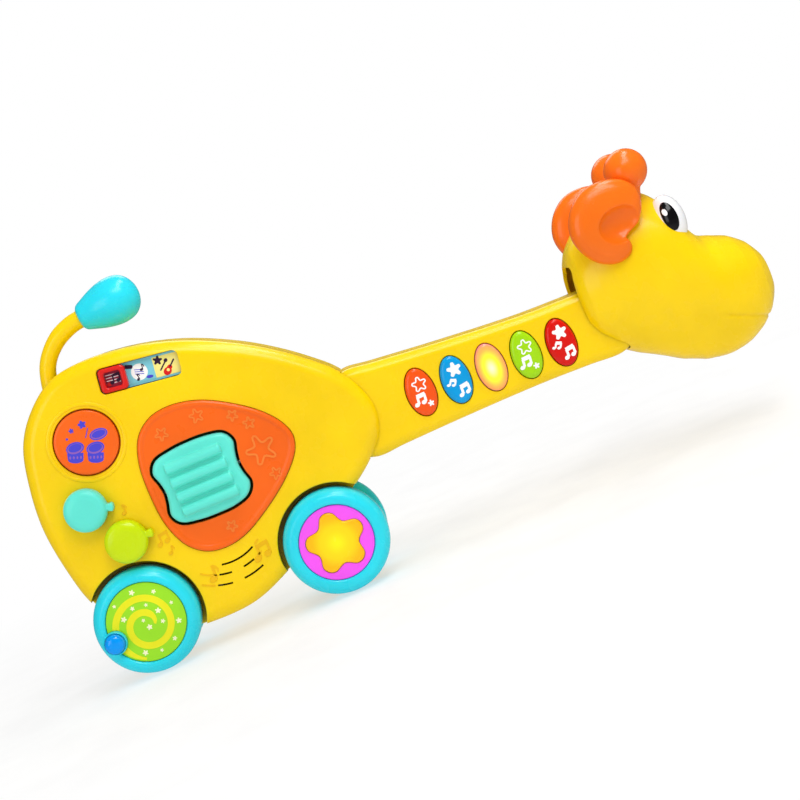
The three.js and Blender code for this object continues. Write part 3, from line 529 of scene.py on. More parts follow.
def finish(
    name, colour, rough=0.3, coat=0.15, metal=0, skin=0, grain=0.02, grain_scale=1500, recess=None,
    slot="label_print",
):
    """A moulded finish: slow drift of the colour, uneven gloss and a fine grain.

    The (reach, left) pair paints shade into gaps and recesses: gaps narrower than reach metres keep only
    that share of the colour.
    """
    material = bpy.data.materials.new(name)
    material.use_nodes = True
    tree = material.node_tree
    darker = linear([c * 0.95 for c in colour])
    tint = mixed(tree, ranged(tree, noise(tree, 26), 0, 1), linear(colour), darker)
    # Painted shade: ambient occlusion darkens the colour in narrow gaps and recesses.
    if recess:
        hidden = wired(tree, "AmbientOcclusion", Distance=recess[0])
        hidden.samples = 8
        open_share = ranged(tree, hidden.outputs["AO"], 0, 1, 0.06, 0.32)
        tint = mixed(tree, open_share, (*[c * recess[1] for c in darker[:3]], 1), tint)
    height = noise(tree, grain_scale, 2.0)
    bump = wired(tree, "Bump", Strength=grain, Distance=0.0004, Height=height)
    shade(tree, {
        "Base Color": tint, "Metallic": metal, "Normal": bump.outputs["Normal"],
        "Roughness": ranged(tree, noise(tree, 90, 5.0), rough - 0.04, rough + 0.04),
        "Specular IOR Level": 0.25, "Coat Weight": coat, "Coat Roughness": 0.12,
        "Subsurface Weight": skin, "Subsurface Radius": (1.0, 0.6, 0.3), "Subsurface Scale": 0.002,
    })
    return material


def glowing(material, at, reach, colours, strength, squash=1.0):
    """Adds light from behind that fades from at outwards, and tints the surface the same way."""
    tree = material.node_tree
    away = here(tree)
    for operation, value in (("SUBTRACT", at), ("MULTIPLY", (1, 1, squash))):
        away = wired(tree, "VectorMath", away, value, operation=operation).outputs["Vector"]
    away = wired(tree, "VectorMath", away, operation="LENGTH").outputs["Value"]
    share = ranged(tree, away, 0, 1, 0, reach)
    ramp = wired(tree, "ValToRGB", share)
    ramp.color_ramp.interpolation = "EASE"
    stops = ramp.color_ramp.elements
    stops.remove(stops[1])
    stops[0].color = linear(colours[0])
    for place, colour in zip((0.45, 0.8, 1), colours[1:]):
        stops.new(place).color = linear(colour)
    fade = ranged(tree, share, strength, strength * 0.1, 0, 1)
    colour = ramp.outputs["Color"]
    shade(tree, {"Base Color": colour, "Emission Color": colour, "Emission Strength": fade})


def moulded(name, colour, coat=0.18, rough=0.27, skin=0.1, **more):
    return finish(name, colour, rough, coat, skin=skin, **more)


def printed(name, colour, **more):
    return finish(name, colour, 0.45, 0.1, **more)


# Painted shade darkens the yellow shell almost to black in its wheel arches and narrow gaps.
YELLOW = moulded("yellow_shell", (255, 214, 0), 0.15, skin=0.06, recess=(0.02, 0.03), slot="shell_yellow")
# A darker copy of the shell yellow: painted shade on the embossed notes and staff lines, which are moulded
# in the same plastic.
SHELL_RELIEF_PAINTED_SHADE = moulded("yellow_relief", (246, 190, 0), 0.15, skin=0.06, slot="shell_yellow")
ORANGE = moulded("orange_plate", (255, 106, 16), 0.12, 0.3, slot="plate_orange")
# A paler copy of the plate orange: painted highlight on the embossed stars, which are moulded in the same
# plastic.
PLATE_RELIEF_PAINTED_HIGHLIGHT = moulded("orange_relief", (255, 136, 52), 0.12, 0.3, slot="plate_orange")
HORN_ORANGE = moulded("orange_horn", (255, 118, 20), 0.2, 0.24, slot="horn_orange")
CYAN = moulded("cyan_wheel", (42, 222, 240), slot="wheel_cyan")
# Painted shade darkens the paddle's grooves between its ribs.
TURQUOISE = moulded(
    "turquoise_paddle", (100, 234, 216), 0.12, 0.34, recess=(0.006, 0.35), slot="paddle_turquoise",
)
LIME = moulded("lime_knob", (208, 234, 0), slot="knob_lime")
AMBER = moulded("amber_lens", (255, 205, 10), 0.2, 0.25, 0.2, slot="star_amber")
BEAD_BLUE = moulded("blue_bead", (0, 158, 255), 0.3, 0.14, slot="bead_blue")
RED = moulded("red_slider", (224, 32, 28), 0.2, 0.24, 0, slot="slider_red")
WHITE = moulded("white_eye", (250, 250, 252), 0.25, 0.18, 0.05, slot="eye_white")
PUPIL = moulded("black_pupil", (10, 9, 12), 0.3, 0.14, 0)
LAMP = moulded("lamp", (250, 246, 230), 0.15, 0.3, 0.3)
SPIRAL_GREEN = printed("green_label", (160, 232, 34), slot="spiral_green")
SPIRAL_YELLOW = printed("yellow_spiral", (242, 238, 20))
CREAM = printed("cream_print", (255, 252, 205))
MAGENTA = printed("magenta_label", (252, 88, 250), slot="star_magenta")
PRINT_WHITE = printed("white_print", (255, 255, 255))
PRINT_VIOLET = printed("violet_print", (74, 70, 214))
PRINT_PALE = printed("pale_violet_print", (150, 96, 190))
# Dark ink for the picture strip; it also colours a painted shadow on the record picture.
PRINT_DARK_AND_PAINTED_SHADOW = printed("dark_print_and_painted_shadow", (52, 22, 60))
LABEL_PLUM = printed("plum_label", (150, 26, 60))
LABEL_SKY = printed("sky_label", (128, 208, 228))
LABEL_STRAW = printed("straw_label", (252, 240, 140))
DARK = finish("dark_inner_plastic", (34, 36, 40), 0.55, 0, grain=0.1)
SILICONE = finish("silicone", (214, 214, 206), 0.6, 0, skin=0.3, grain=0.08)
BOARD = finish("circuit_board", (40, 118, 66), 0.42, grain=0.1)
PAPER = finish("speaker_paper", (46, 42, 40), 0.85, 0, grain=0.3, grain_scale=700)
STEEL = finish("steel", (196, 199, 204), 0.26, 0, metal=1.0, grain=0.05, slot="steel")
JACKET = finish("cell_jacket", (150, 158, 168), 0.3, metal=0.8)
KEY_COLOURS = {
    "orange": (250, 88, 18), "blue": (0, 162, 230), "pink": (246, 160, 150), "green": (168, 226, 16),
    "red": (220, 18, 8),
}
KEY_LOOKS = [moulded(f"{n}_key", c, 0.22, 0.2, slot=f"key_{n}") for n, c in KEY_COLOURS.items()]

glowing(
    KEY_LOOKS[2], row(KEYS[2][0], KEY_FACE, KEYS[2][1] - 0.5), 0.0092,
    ((255, 252, 170), (255, 222, 50), (250, 168, 84), (238, 122, 140)), 0.7, 0.6,
)
glowing(
    AMBER, row(FRONT_WHEEL[0], -29, FRONT_WHEEL[1]), 0.0185,
    ((255, 236, 10), (255, 216, 6), (255, 190, 4), (255, 184, 4)), 0.1,
)


# ---- body and neck

BODY_ROUND, NECK_ROUND, NECK_WALL, HEAD_WALL = 8, 6, 1.7, 1.6
ARCH_R, LOBE_R, CORE_HALF = 33.4, 16, 11
SEAM = [(-0.8, 0), (-0.3, 0.3), (0.3, 0.3), (0.8, 0)]  # (y, inset) of the groove where two shells meet


def fillet_hole(loop, face, lip, floor, grow=0.0):
    """A tool that cuts a hole with a rounded lip through the face nearest the viewer."""
    angles = [pi / 2 * (1 - k / 5) for k in range(6)]
    edge = [(face + lip - lip * sin(a), -grow - lip + lip * cos(a)) for a in angles]
    return slab(loop, [(-FAR, -lip - grow), *edge, (floor, -grow)])


def behind(loop, near, far):
    """A plug on the plain side, given by the same distances as on the play side."""
    return mirrored(plug(loop, near, far))


def pockets(radius, inner, lip):
    tools = []
    for at in WHEELS:
        tool = fillet_hole(circle(at, radius, 128), BODY_FACE, lip, -inner)
        tools += [tool, mirrored(tool)]
    return tools


def halves(shell, name):
    """The play-side and the plain-side half of a shell."""
    beyond = 400
    rear = linked(f"{name}_rear", shell.data.copy())
    shell.name = f"{name}_front"
    carve(shell, block((-beyond, -PARTING, -beyond), (beyond, beyond, beyond)))
    carve(rear, block((-beyond, -beyond, -beyond), (beyond, PARTING, beyond)))
    return shell, rear


def body_shells():
    outer = make("body", slab(BODY, edges(-BODY_HALF, BODY_HALF, BODY_ROUND, BODY_ROUND, 8, SEAM)))
    half, bend = BODY_HALF - WALL, BODY_ROUND - WALL
    room = make("room", slab(inset_loop(BODY, WALL), edges(-half, half, bend, bend)))
    wall = CORE_HALF - WALL
    for at in WHEELS:
        fuse(outer, slab(circle(at, LOBE_R, 96), edges(-CORE_HALF, CORE_HALF, 1.5, 1.5)))
        fuse(room, plug(circle(at, LOBE_R - WALL), -wall, wall))
    carve(outer, *pockets(ARCH_R, CORE_HALF, 0.8))
    carve(room, *pockets(ARCH_R + WALL, wall, 0.1))
    carve(outer, room, slab(NECK, [(-NECK_HALF - 0.3, -0.3), (NECK_HALF + 0.3, -0.3)]))
    for at in WHEELS:
        fuse(outer, plug(circle(at, 5.5), -CORE_HALF, CORE_HALF))
        carve(outer, plug(circle(at, 2.9)))
    tail_slot = rounded_box((-58.5, 0), 23, 12, 5.5)
    carve(outer, stacked([[(x, y, z) for x, y in tail_slot] for z in (164, 190)]))
    return halves(outer, "guitar_body")


SOUND_CENTRE = (-1, 72)
SOUND_SLOTS = [(29.5, -102, -62), (35, -106, -94), (35, -82, -70), (41, -108, -96), (41, -86, -68)]
SHELL_NOTES = [
    (NOTE, (-13.5, 40.5), 8, 0), (NOTE_PAIR, (16.5, 41.5), 8, 0), (NOTE_PAIR, (-32, 69.5), 6, 0),
    (NOTE, (-45.5, 93.5), 5, 8), (NOTE, (-30, 62), 4.5, -10),
]
STAFF_LINES = [(35, -124, -108), (41, -121, -110), (35, -66, -60), (29.5, -58, -52)]


def arc(at, radius, start, end, count=20):
    return [placed(at, radius, start + (end - start) * k / (count - 1), 1, 0) for k in range(count)]


def on_strip(along, across=0.0):
    return placed(SLOT_AT, 1, SLOT_TILT, along, across)


def raised_ring(at, radius, half, y, height):
    """A half-round ring standing on the face at y."""
    angles = [pi * k / 6 for k in range(7)]
    dome = [(radius - half * cos(a), y - height * sin(a)) for a in angles]
    return lathe(at, [(radius - half, y + 1), *dome, (radius + half, y + 1)], 96)


def body_front(shell):
    slot = rounded_box(SLOT_AT, 46.4, 14.6, 3, SLOT_TILT)
    carve(
        shell,
        slab(PLATE, [(-FAR, -0.35), (BODY_FACE + 0.8, -0.35)]),
        slab(PADDLE, [(-FAR, -3), (-15, -3)]),
        fillet_hole(circle(DRUM, 18.9, 96), BODY_FACE, 0.7, -15),
        fillet_hole(slot, BODY_FACE, 0.9, -15),
    )
    for radius, start, end in SOUND_SLOTS:
        carve(shell, ribbon(arc(SOUND_CENTRE, radius, start, end), 1.1, -15, 15))
    fuse(shell, raised_ring(DRUM, 21.6, 1.1, BODY_FACE, 0.55))
    base, lift = BODY_FACE + 0.4, 0.8
    embossing = []
    for radius, start, end in STAFF_LINES:
        embossing.append(ribbon(arc(SOUND_CENTRE, radius, start, end), 0.9, base, lift * 0.9))
    for kind, at, size, tilt in SHELL_NOTES:
        embossing += notes(kind, at, size, base, lift, tilt)
    return shell, make("guitar_embossed_notes", merged(*embossing))


BATTERY_AT = (-44, 108)
DOOR_SCREW = flat("battery_door_screw")


def door_loop(grow):
    """The battery door's outline: a rounded rectangle with a tab for its screw."""
    (x, z), w, h = BATTERY_AT, 32 + grow, 27 + grow
    tab, top = 5 + grow, DOOR_SCREW[1] + 5 + grow
    corners = [
        (x - w, z - h, 4), (x + w, z - h, 4), (x + w, z + h, 4), (x + tab, z + h, 2),
        (x + tab, top, 4), (x - tab, top, 4), (x - tab, z + h, 2), (x - w, z + h, 4),
    ]
    points = []
    for i, (cx, cz, r) in enumerate(corners):
        corner, (ax, az, _), (bx, bz, _) = Vector((cx, cz)), corners[i - 1], corners[(i + 1) % 8]
        back = (Vector((ax, az)) - corner).normalized() * r
        ahead = (Vector((bx, bz)) - corner).normalized() * r
        for k in range(6):
            points.append(tuple(corner + back * (1 - k / 5) ** 2 + ahead * (k / 5) ** 2))
    return points


def body_rear(shell):
    carve(shell, behind(door_loop(0.4), -FAR, -21.4))
    carve(shell, behind(rounded_box(BATTERY_AT, 60, 50, 4), -FAR, -5))
    for at in SCREWS:
        fuse(shell, behind(circle(at, 5.4, 48), -BODY_HALF + 1, -PARTING))
        well = mirrored(fillet_hole(circle(at, 3.5, 48), BODY_FACE, 0.6, -8))
        carve(shell, well, behind(circle(at, 1.9, 24), -FAR, 1))
    fuse(shell, behind(circle(DOOR_SCREW, 7.4, 48), -21, -12))
    carve(shell, behind(circle(DOOR_SCREW, 5.4, 48), -FAR, -19.6))
    return carve(shell, behind(circle(DOOR_SCREW, 1.6, 24), -FAR, -5))


def battery_door():
    panel = slab(door_loop(0), edges(BODY_FACE, -21.7, 0.35, 0, 3))
    door = make("guitar_battery_door", mirrored(panel))
    fuse(door, behind(circle(DOOR_SCREW, 5, 48), -21.8, -19.9))
    for z in (86, 89, 92, 95):  # grip grooves
        carve(door, mirrored(ribbon([(-50, z), (-38, z)], 1.2, BODY_FACE + 0.6, 5)))
    well = mirrored(fillet_hole(circle(DOOR_SCREW, 3.4, 40), BODY_FACE, 0.4, -21))
    return carve(door, well, behind(circle(DOOR_SCREW, 1.9, 24), -FAR, -5))


def screw(name, node, tip):
    """A pan-head screw along Y with a cross slot, its head towards the plain side."""
    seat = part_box(node)[1].y / MM - 2
    profile = [
        (0, tip), (0.6, tip + 0.6), (1.25, tip + 1.8), (1.25, seat), (3, seat + 0.1), (3, seat + 1),
        (2.7, seat + 1.6), (2.1, seat + 2), (0, seat + 2),
    ]
    x, z = flat(node)
    piece = make(name, lathe((x, z), profile, 40))
    for wide, high in ((1.9, 0.35), (0.35, 1.9)):
        carve(piece, block((x - wide, seat + 1, z - high), (x + wide, seat + 4, z + high)))
    dress("casing", STEEL, (piece, node))


def neck_form(inset, steps=8, groove=()):
    half, bend = NECK_HALF - inset, NECK_ROUND - max(inset, 0)
    return slab(inset_loop(NECK, inset), edges(-half, half, bend, bend, steps, groove))


TONGUE_HALF = 5


def neck_shells():
    outer = make("neck", neck_form(0, 8, SEAM))
    carve(outer, make("room", neck_form(NECK_WALL)))
    x, z = HEAD_PIVOT
    bar = [(251, z - 13), (x, z - 11), (x, z + 9), (251, z + 8)]
    fuse(outer, plug(bar, -TONGUE_HALF, TONGUE_HALF))
    fuse(outer, slab(circle(HEAD_PIVOT, 11), edges(-TONGUE_HALF, TONGUE_HALF, 0.8, 0.8)))
    carve(outer, plug(circle(HEAD_PIVOT, 3.2, 32)))
    carve(outer, plug(circle(SCREWS[3], 5.9, 32)))
    front, rear = halves(outer, "guitar_neck")
    for at in KEYS:
        carve(front, fillet_hole(egg(at, 8.75, 14.45), NECK_FACE, 0.45, -13))
    return front, rear


# ---- head

def head_grid(inset, spans, sides):
    """Rings of the head's skin from back to nose."""
    places = catmull([(x, (low + high) / 2) for x, low, high, _ in HEAD_STATIONS], False, spans)
    sizes = catmull([((high - low) / 2, width) for _, low, high, width in HEAD_STATIONS], False, spans)
    back, nose = HEAD_STATIONS[0][0], HEAD_STATIONS[-1][0]
    shrink = 1 - 2 * inset / (nose - back)
    out = []
    for at, size in zip(places, sizes):
        x = (back + nose) / 2 * (1 - shrink) + at.x * shrink
        deep, high = max(size.y - inset, 0.5), max(size.x - inset, 0.5)
        ring = []
        for c, s in around(sides):
            square = (abs(c) ** HEAD_POWER + abs(s) ** HEAD_POWER) ** (-1 / HEAD_POWER)
            ring.append((x, square * c * deep, at.y + square * s * high))
        out.append(ring)
    if not inset:  # two more rings round off the nose
        tip = out[-1]
        hub = (tip[0][0], 0, sum(p[2] for p in tip) / sides)
        for ahead, share in ((0.3, 0.35), (0.45, 0.8)):
            goal = Vector(hub) + Vector((ahead, 0, 0))
            out.append([tuple(Vector(p).lerp(goal, share)) for p in tip])
    return out


def mouth(x, z):
    """How deep in the mouth's crease a point is, from 0 to 1."""
    start = min(max((x - 304) / 6, 0), 1)
    line = 65.3 - 0.41 * (x - 306.7)
    return start * exp(-(((z - line) / 0.9) ** 2))


def turned_down(form, lift):
    """A form turned about the head's pin, as the neck turns when the head nods up."""
    (px, pz), (verts, faces) = HEAD_PIVOT, form
    turned = [placed(HEAD_PIVOT, 1, -lift, x - px, z - pz) for x, _, z in verts]
    return [(u, y, v) for (u, v), (_, y, _) in zip(turned, verts)], faces


def head_shells():
    head = make("head", stacked(head_grid(0, 20, 300)))
    normals = [v.normal.copy() for v in head.data.vertices]
    for v, normal in zip(head.data.vertices, normals):
        v.co -= normal * (0.75 * MM * mouth((v.co.x - DRAWING_X) / MM, v.co.z / MM))
    carve(head, make("room", stacked(head_grid(HEAD_WALL, 6, 96))))
    posts = make("posts", plug(circle(HEAD_PIVOT, 6), -34, 34))
    carve(posts, plug(circle(HEAD_PIVOT, 7), -TONGUE_HALF - 0.6, TONGUE_HALF + 0.6))
    trim(posts, make("inside", stacked(head_grid(0.6, 6, 96))))
    fuse(head, posts)
    sweep_room = None
    for lift in range(0, 21, 4):
        neck = make("tool", turned_down(neck_form(-0.6, 5), lift))
        sweep_room = fuse(sweep_room, neck) if sweep_room else neck
    trim(sweep_room, block((196, -FAR, -100), (264, FAR, 300)))
    carve(head, sweep_room, plug(circle(HEAD_PIVOT, 3.15, 32), -31, 31))
    return halves(head, "giraffe_head")


def ear():
    lobe = make("giraffe_ear_front", pillow(EAR, (266, 139), -24.5, -33, -41.6, 2.7))
    carve(lobe, ball((271.5, -47.5, 134.5), (15.5, 13, 12)), ball((279, -42.5, 128), (8, 7, 4)))
    return soften(lobe, 0.5, 6)


def horn():
    piece = make("giraffe_horn_front", ball((288, -20.5, 161), (12.3, 12.3, 12.3), 64, 40))
    stem = [(288.8, -20.5, 159), (285.2, -22.5, 148), (281, -25, 138), (277.5, -24, 128)]
    fuse(piece, sweep(curve(stem, 12), lambda t: 6, 40))
    return soften(piece, 0.6, 7)


EYE_AT, EYE_AXES = (300.4, -21.5, 125.6), (9.2, 12.6, 15)


def eye_patch(name, at, radii, inner=0.985, outer=1.012):
    """A thin patch on the eye's ellipsoid, drawn as a tilted ellipse in the (x, z) plane."""
    shares = [0.02] + [k / 8 for k in range(1, 9)]
    (cx, cy, cz), (rx, ry, rz) = EYE_AT, EYE_AXES
    rings = []
    for scale, order in ((outer, shares), (inner, shares[::-1])):
        for share in order:
            ring = []
            for x, z in ellipse(at, radii[0] * share, radii[1] * share, 4, 48):
                left = scale**2 - ((x - cx) / rx) ** 2 - ((z - cz) / rz) ** 2
                ring.append((x, cy - ry * sqrt(max(left, 0)), z))
            rings.append(ring)
    return make(name, stacked(rings))


# ---- tail

def tail_arm():
    path = respaced(catmull(TAIL_PATH, False, 16), 60, False)
    bar = sweep(path, lambda t: 5.2 - 0.5 * sin(pi * min(t * 1.4, 1)), 48)
    pin = flat("tail_pin")
    arm = fuse(make("giraffe_tail_arm", bar), slab(circle(pin, 7.4), edges(-5, 5, 1, 1)))
    return carve(arm, plug(circle(pin, 2.7, 32)))


TIP_PROFILE = [  # radius and distance from the tip's start
    (5.6, 0), (7.4, 1.2), (9.4, 5.5), (11.9, 12), (13.5, 18.5), (13.8, 24.5), (12.3, 30.3), (8.6, 34.4),
    (4, 36.5), (0.6, 37),
]


def tail_tip():
    tilt = radians(5)
    way, across = Vector((cos(tilt), 0, sin(tilt))), Vector((-sin(tilt), 0, cos(tilt)))
    rings = []
    for p in respaced(catmull(TIP_PROFILE, False, 10), 70, False):
        spot = Vector((-29, 0, 202)) + way * p.y
        rings.append([tuple(spot + (across * c + Vector((0, s, 0))) * p.x) for c, s in around(64)])
    return make("giraffe_tail_tip", stacked(rings))


# ---- wheels

SPIRAL_R, STAR_DISC_R = 22.6, 21.3
LABEL_FACE, LABEL_BACK = -28.8, -27.2


def wheel_form(at, label_r):
    """The play-side wheel: a soft rim round a dish for the label, hollow at the back."""
    rim = [
        (label_r + 0.3, -28.6), (label_r + 0.5, -29.3), (label_r + 1.3, -29.9), (26.2, -29.7),
        (28.4, -28), (30, -25.4), (30.5, -22.4), (30.5, -20),
    ]
    return lathe(at, [
        (2.8, -27), (label_r + 0.3, -27), *curve(rim, 5), (30.5, -14.2), (30.1, -13.3),
        (29.3, -13), (26.9, -13), (26.9, -24.6), (6.2, -24.6), (6.2, -13.8), (2.8, -13.8),
    ], 128)


def scratch_wheel():
    socket = [
        (0, -31.2), (5.9, -31.2), (6, -31.9), (6.3, -32.2), (6.6, -32), (6.8, -31.3), (6.8, -29),
        (6.6, -26.9), (0, -26.9),
    ]
    return fuse(make("rear_scratch_wheel", wheel_form(REAR_WHEEL, SPIRAL_R)), lathe(BEAD, socket, 48))


def spiral_point(turn):
    """A point of the label's spiral; turn runs from 0 at its inner end to 1."""
    middle = (REAR_WHEEL[0] - 0.4, REAR_WHEEL[1] - 1.8)
    return placed(middle, 4.6 + 14.6 * turn**0.85, -11 + 618 * turn, 1, 0)


def spiral_print():
    points = [spiral_point(k / 160) for k in range(161)]
    width = lambda t: 3.9 * min(1, 0.35 + 6 * t, 0.35 + 9 * (1 - t))
    band = make("spiral_band", ribbon(points, width, LABEL_FACE + 0.1, 0.22))
    carve(band, plug(circle(BEAD, 7.1, 48), -FAR, -20))
    return trim(band, plug(circle(REAR_WHEEL, SPIRAL_R - 0.3, 96), -FAR, -20))


def star_prints():
    """Small stars scattered in the green between the spiral's turns."""
    middle = Vector(REAR_WHEEL)
    spots = [middle + Vector((0.6, -3.4)), middle + Vector((-1.2, 1.4))]
    for k in range(17):
        inner = Vector(spiral_point(0.02 + 0.056 * k))
        spots.append(inner + (inner - middle).normalized() * 4.3)
    forms = []
    for k, spot in enumerate(spots):
        if (spot - middle).length < SPIRAL_R - 2 and (spot - Vector(BEAD)).length > 9:
            size = (1.7, 1.1, 1.35)[k % 3]
            forms.append(raised(star(spot, size, size * 0.55, 0.2, 2, 17 * k), LABEL_FACE + 0.1, 0.26))
    return make("spiral_stars", merged(*forms))


def bead():
    profile = [(5.3, -31.4), (5.6, -32.2), (5.6, -33), (5.1, -34.4), (3.9, -35.4), (2.1, -35.9), (0.3, -36)]
    return make("rear_peg_bead", lathe(BEAD, [(0, -31.4)] + curve(profile, 5), 64))


def star_loop(grow=0.0):
    return star(FRONT_WHEEL, 17.6 + grow, 12.6 + grow, 0.22, 12)


def label_disc(name, at, radius, hole):
    disc = make(name, slab(circle(at, radius, 128), edges(LABEL_FACE, LABEL_BACK, 0.3, 0, 3)))
    return carve(disc, plug(hole, -FAR, -20))


def far_wheel(at, body, wheel_node, cap_node):
    """The plain wheel, and its hub cap with a shallow ring and a raised middle."""
    profile = [
        (0, 28.9), (5.6, 28.9), (6.4, 28.6), (7, 28.1), (14, 28.1), (14.5, 28.5), (16, 28.5),
        (16.5, 28.1), (21.8, 28.1), (22.4, 27.8), (22.5, -LABEL_BACK), (0, -LABEL_BACK),
    ]
    wheel = make(f"{body}_far", mirrored(wheel_form(at, SPIRAL_R)))
    cap = make(f"{body}_far_cap", lathe(at, profile, 96))
    dress(body, CYAN, (wheel, wheel_node), (cap, cap_node))


# ---- controls

PLATE_STARS = [  # place, size, line width, turn
    ((39, 95), 8.6, 1.1, 8), ((-9, 124.5), 3.8, 0.8, 20), ((13, 126.5), 4, 0.8, 0),
    ((31.5, 119), 3.2, 0.8, 15), ((38.5, 111.5), 3.4, 0.8, -10), ((41.5, 79.5), 3.6, 0.8, 10),
    ((7, 61.5), 3.2, 0.8, 25),
]


def strum_plate():
    well = PLATE_FACE + 0.75
    rim = [(0.1, 2.6), (0, 1.9), (0.15, 1.2), (0.5, 0.5), (1.1, 0.1), (1.7, 0)]
    profile = [(well, 4.6), (well, 3.9), (well - 0.2, 3.4), *[(PLATE_FACE + y, inset) for y, inset in rim]]
    plate = make("guitar_strum_plate", slab(PLATE, profile + [(BODY_FACE + 0.7, 0)]))
    carve(plate, fillet_hole(PADDLE, well, 0.5, 0, 1.6))
    lines = []
    for at, size, width, turn in PLATE_STARS:
        loop = star(at, size, size * 0.48, 0.12, 3, turn)
        lines.append(ribbon(loop, width, well + 0.3, 0.75, closed=True))
    return plate, make("guitar_plate_stars", merged(*lines))


def strum_paddle():
    paddle = make("guitar_strum_paddle", slab(PADDLE, edges(-26.6, -19.5, 2.6, 0.8)))
    for z in (79.6, 88.1, 96.6, 105.1):
        path = [(x, -27.3, z) for x in (-15, -14.4, -13, -6, 2, 10, 17, 18.4, 19)]
        fuse(paddle, sweep(path, lambda t: 3.1 * min(1, 0.3 + 6 * min(t, 1 - t)), 24))
    return soften(paddle, 0.4, 6)


def knob(name, pointer):
    at, base, top = flat(f"{name}_switch"), -23.3, -31.9
    profile = [
        (0, base), (12, base), (12.2, base - 0.3), (12.3, -27), (12.1, -29), (11.2, -30.6), (9.6, -31.5),
        (7, top), (0.4, top - 0.1),
    ]
    piece = make(f"guitar_{name}_knob", lathe(at, profile, 96))
    tab = [(8, -2.6), (11.8, -1.9), (13.4, -2.1), (14.8, -2.5), (15.6, -1.8), (15.9, 0)]
    tab += [(u, -v) for u, v in tab[-2::-1]]
    loop = smooth_loop([placed(at, 1, pointer, u, v) for u, v in tab], 60)
    fuse(piece, slab(loop, edges(top + 2.6, base, 1.1, 0.2)))
    return soften(piece, 0.4, 5)


def drum_button():
    face = [(0, 0.25), (15.2, 0.2), (16, 0), (17.1, 0), (17.9, 0.4), (18.2, 1.2)]
    back = [
        (18.2, -20.3), (19.6, -20.3), (19.6, -19.2), (16.4, -19.2), (16.4, -22), (3, -22), (3, -15),
        (0, -15),
    ]
    profile = [(radius, DRUM_FACE + y) for radius, y in face] + back
    return make("guitar_drum_button", lathe(DRUM, profile, 128))


def drum_print():
    """Two drums, a cymbal, a stick and stars, in two inks."""
    y, lift = DRUM_FACE + 0.3, 0.22
    solid, pale = [], []

    def oval(ink, at, a, b, tilt=0.0, high=1.0):
        ink.append(raised(ellipse(at, a, b, tilt), y, lift * high))

    def local(u, v):
        return (DRUM[0] + u, DRUM[1] + v)

    for x, z in (local(-6.9, -0.6), local(3.6, -4.7)):
        spot = lambda across, down: (x + 0.94 * across - 0.34 * down, z - 0.34 * across - 0.94 * down)
        angles = [pi * (1 + k / 12) for k in range(13)]
        side = [spot(4.3 * cos(a), 6.4 - 2 * sin(a)) for a in angles]
        solid.append(raised([*side, spot(4.6, 2.6), spot(-4.6, 2.6)], y, lift * 0.7))
        oval(solid, (x, z), 5.1, 3.5, -4.5, 0.85)
        oval(pale, (x - 0.1, z - 0.2), 4.5, 2.9, -4.5)
        oval(solid, (x + 0.1, z + 0.2), 3.9, 2.3, -4.5, 1.25)
        for across in (-3, -1, 1, 3):
            oval(pale, spot(across, 5.2), 0.55, 0.9, -22.5, 0.95)
    for ink, shift, a, high in ((solid, 0, 5.2, 0.7), (pale, 0, 4.6, 0.9), (solid, 0.1, 4, 1.15)):
        oval(ink, local(8.3 + shift, 1.8 + shift), a, a - 2, -2, high)  # the cymbal
    oval(solid, local(-9, 5.8), 0.7, 0.7)
    for u, v, outer, inner in ((1.9, 10.2, 2.4, 1.5), (-5, 9.2, 1.5, 0.9)):
        solid.append(raised(star(local(u, v), outer, inner, 0.22, 2), y, lift))
    solid.append(ribbon([local(4.2, 7.4), local(0.9, 2.6)], 0.5, y, lift * 0.9))
    return make("drum_picture", merged(*solid)), make("drum_picture_pale", merged(*pale))


def tune_slider():
    at, tilt, face = on_strip(-14.8), SLOT_TILT, -23.8
    frame_loop = rounded_box(at, 15.4, 13.8, 2.6, tilt)
    slider = make("guitar_tune_slider", slab(frame_loop, edges(face, -19.3, 1.3, 0)))
    return carve(slider, fillet_hole(rounded_box(at, 8.6, 7.8, 1.2, tilt), face, 1.2, 0, 0.4))


# Ink, place in the slot, half width and height, tilt, lift.
STRIP_OVALS = [
    ("red", (-18, -2.6), 1.3, 1.1, 0, 0.16), ("white", (0, 0), 4.7, 4.7, 0, 0.1),
    ("plum", (5, -4), 2, 0.9, -10, 0.14), ("dark", (15.8, 2.5), 1.2, 1, 40, 0.16),
    ("red", (15.4, -3.6), 2.5, 2.1, 30, 0.12), ("red", (17, -1.8), 1.6, 1.4, 30, 0.14),
    ("straw", (15.9, -3), 0.9, 0.9, 0, 0.2),
]
# Ink, both ends, width, lift.
STRIP_LINES = [
    *[("white", (-19.2, v), (-11.4, v), 0.45, 0.08) for v in (2.6, 1, -0.6, -2.2)],
    *[("plum", (-2.6, v), (2.4, v - 1), 0.4, 0.16) for v in (-0.6, 0.6, 1.8)],
    ("dark", (11.6, -2.4), (15.6, 2.2), 0.8, 0.12), ("dark", (17.2, -1.6), (20.4, 2.2), 0.8, 0.18),
]
STRIP_NOTES = [
    (NOTE_PAIR, (-14.2, 0), 4.6, SLOT_TILT), (NOTE, (1.9, 2.2), 3.2, -8), (NOTE, (-1.6, -2.6), 3.2, 12),
]


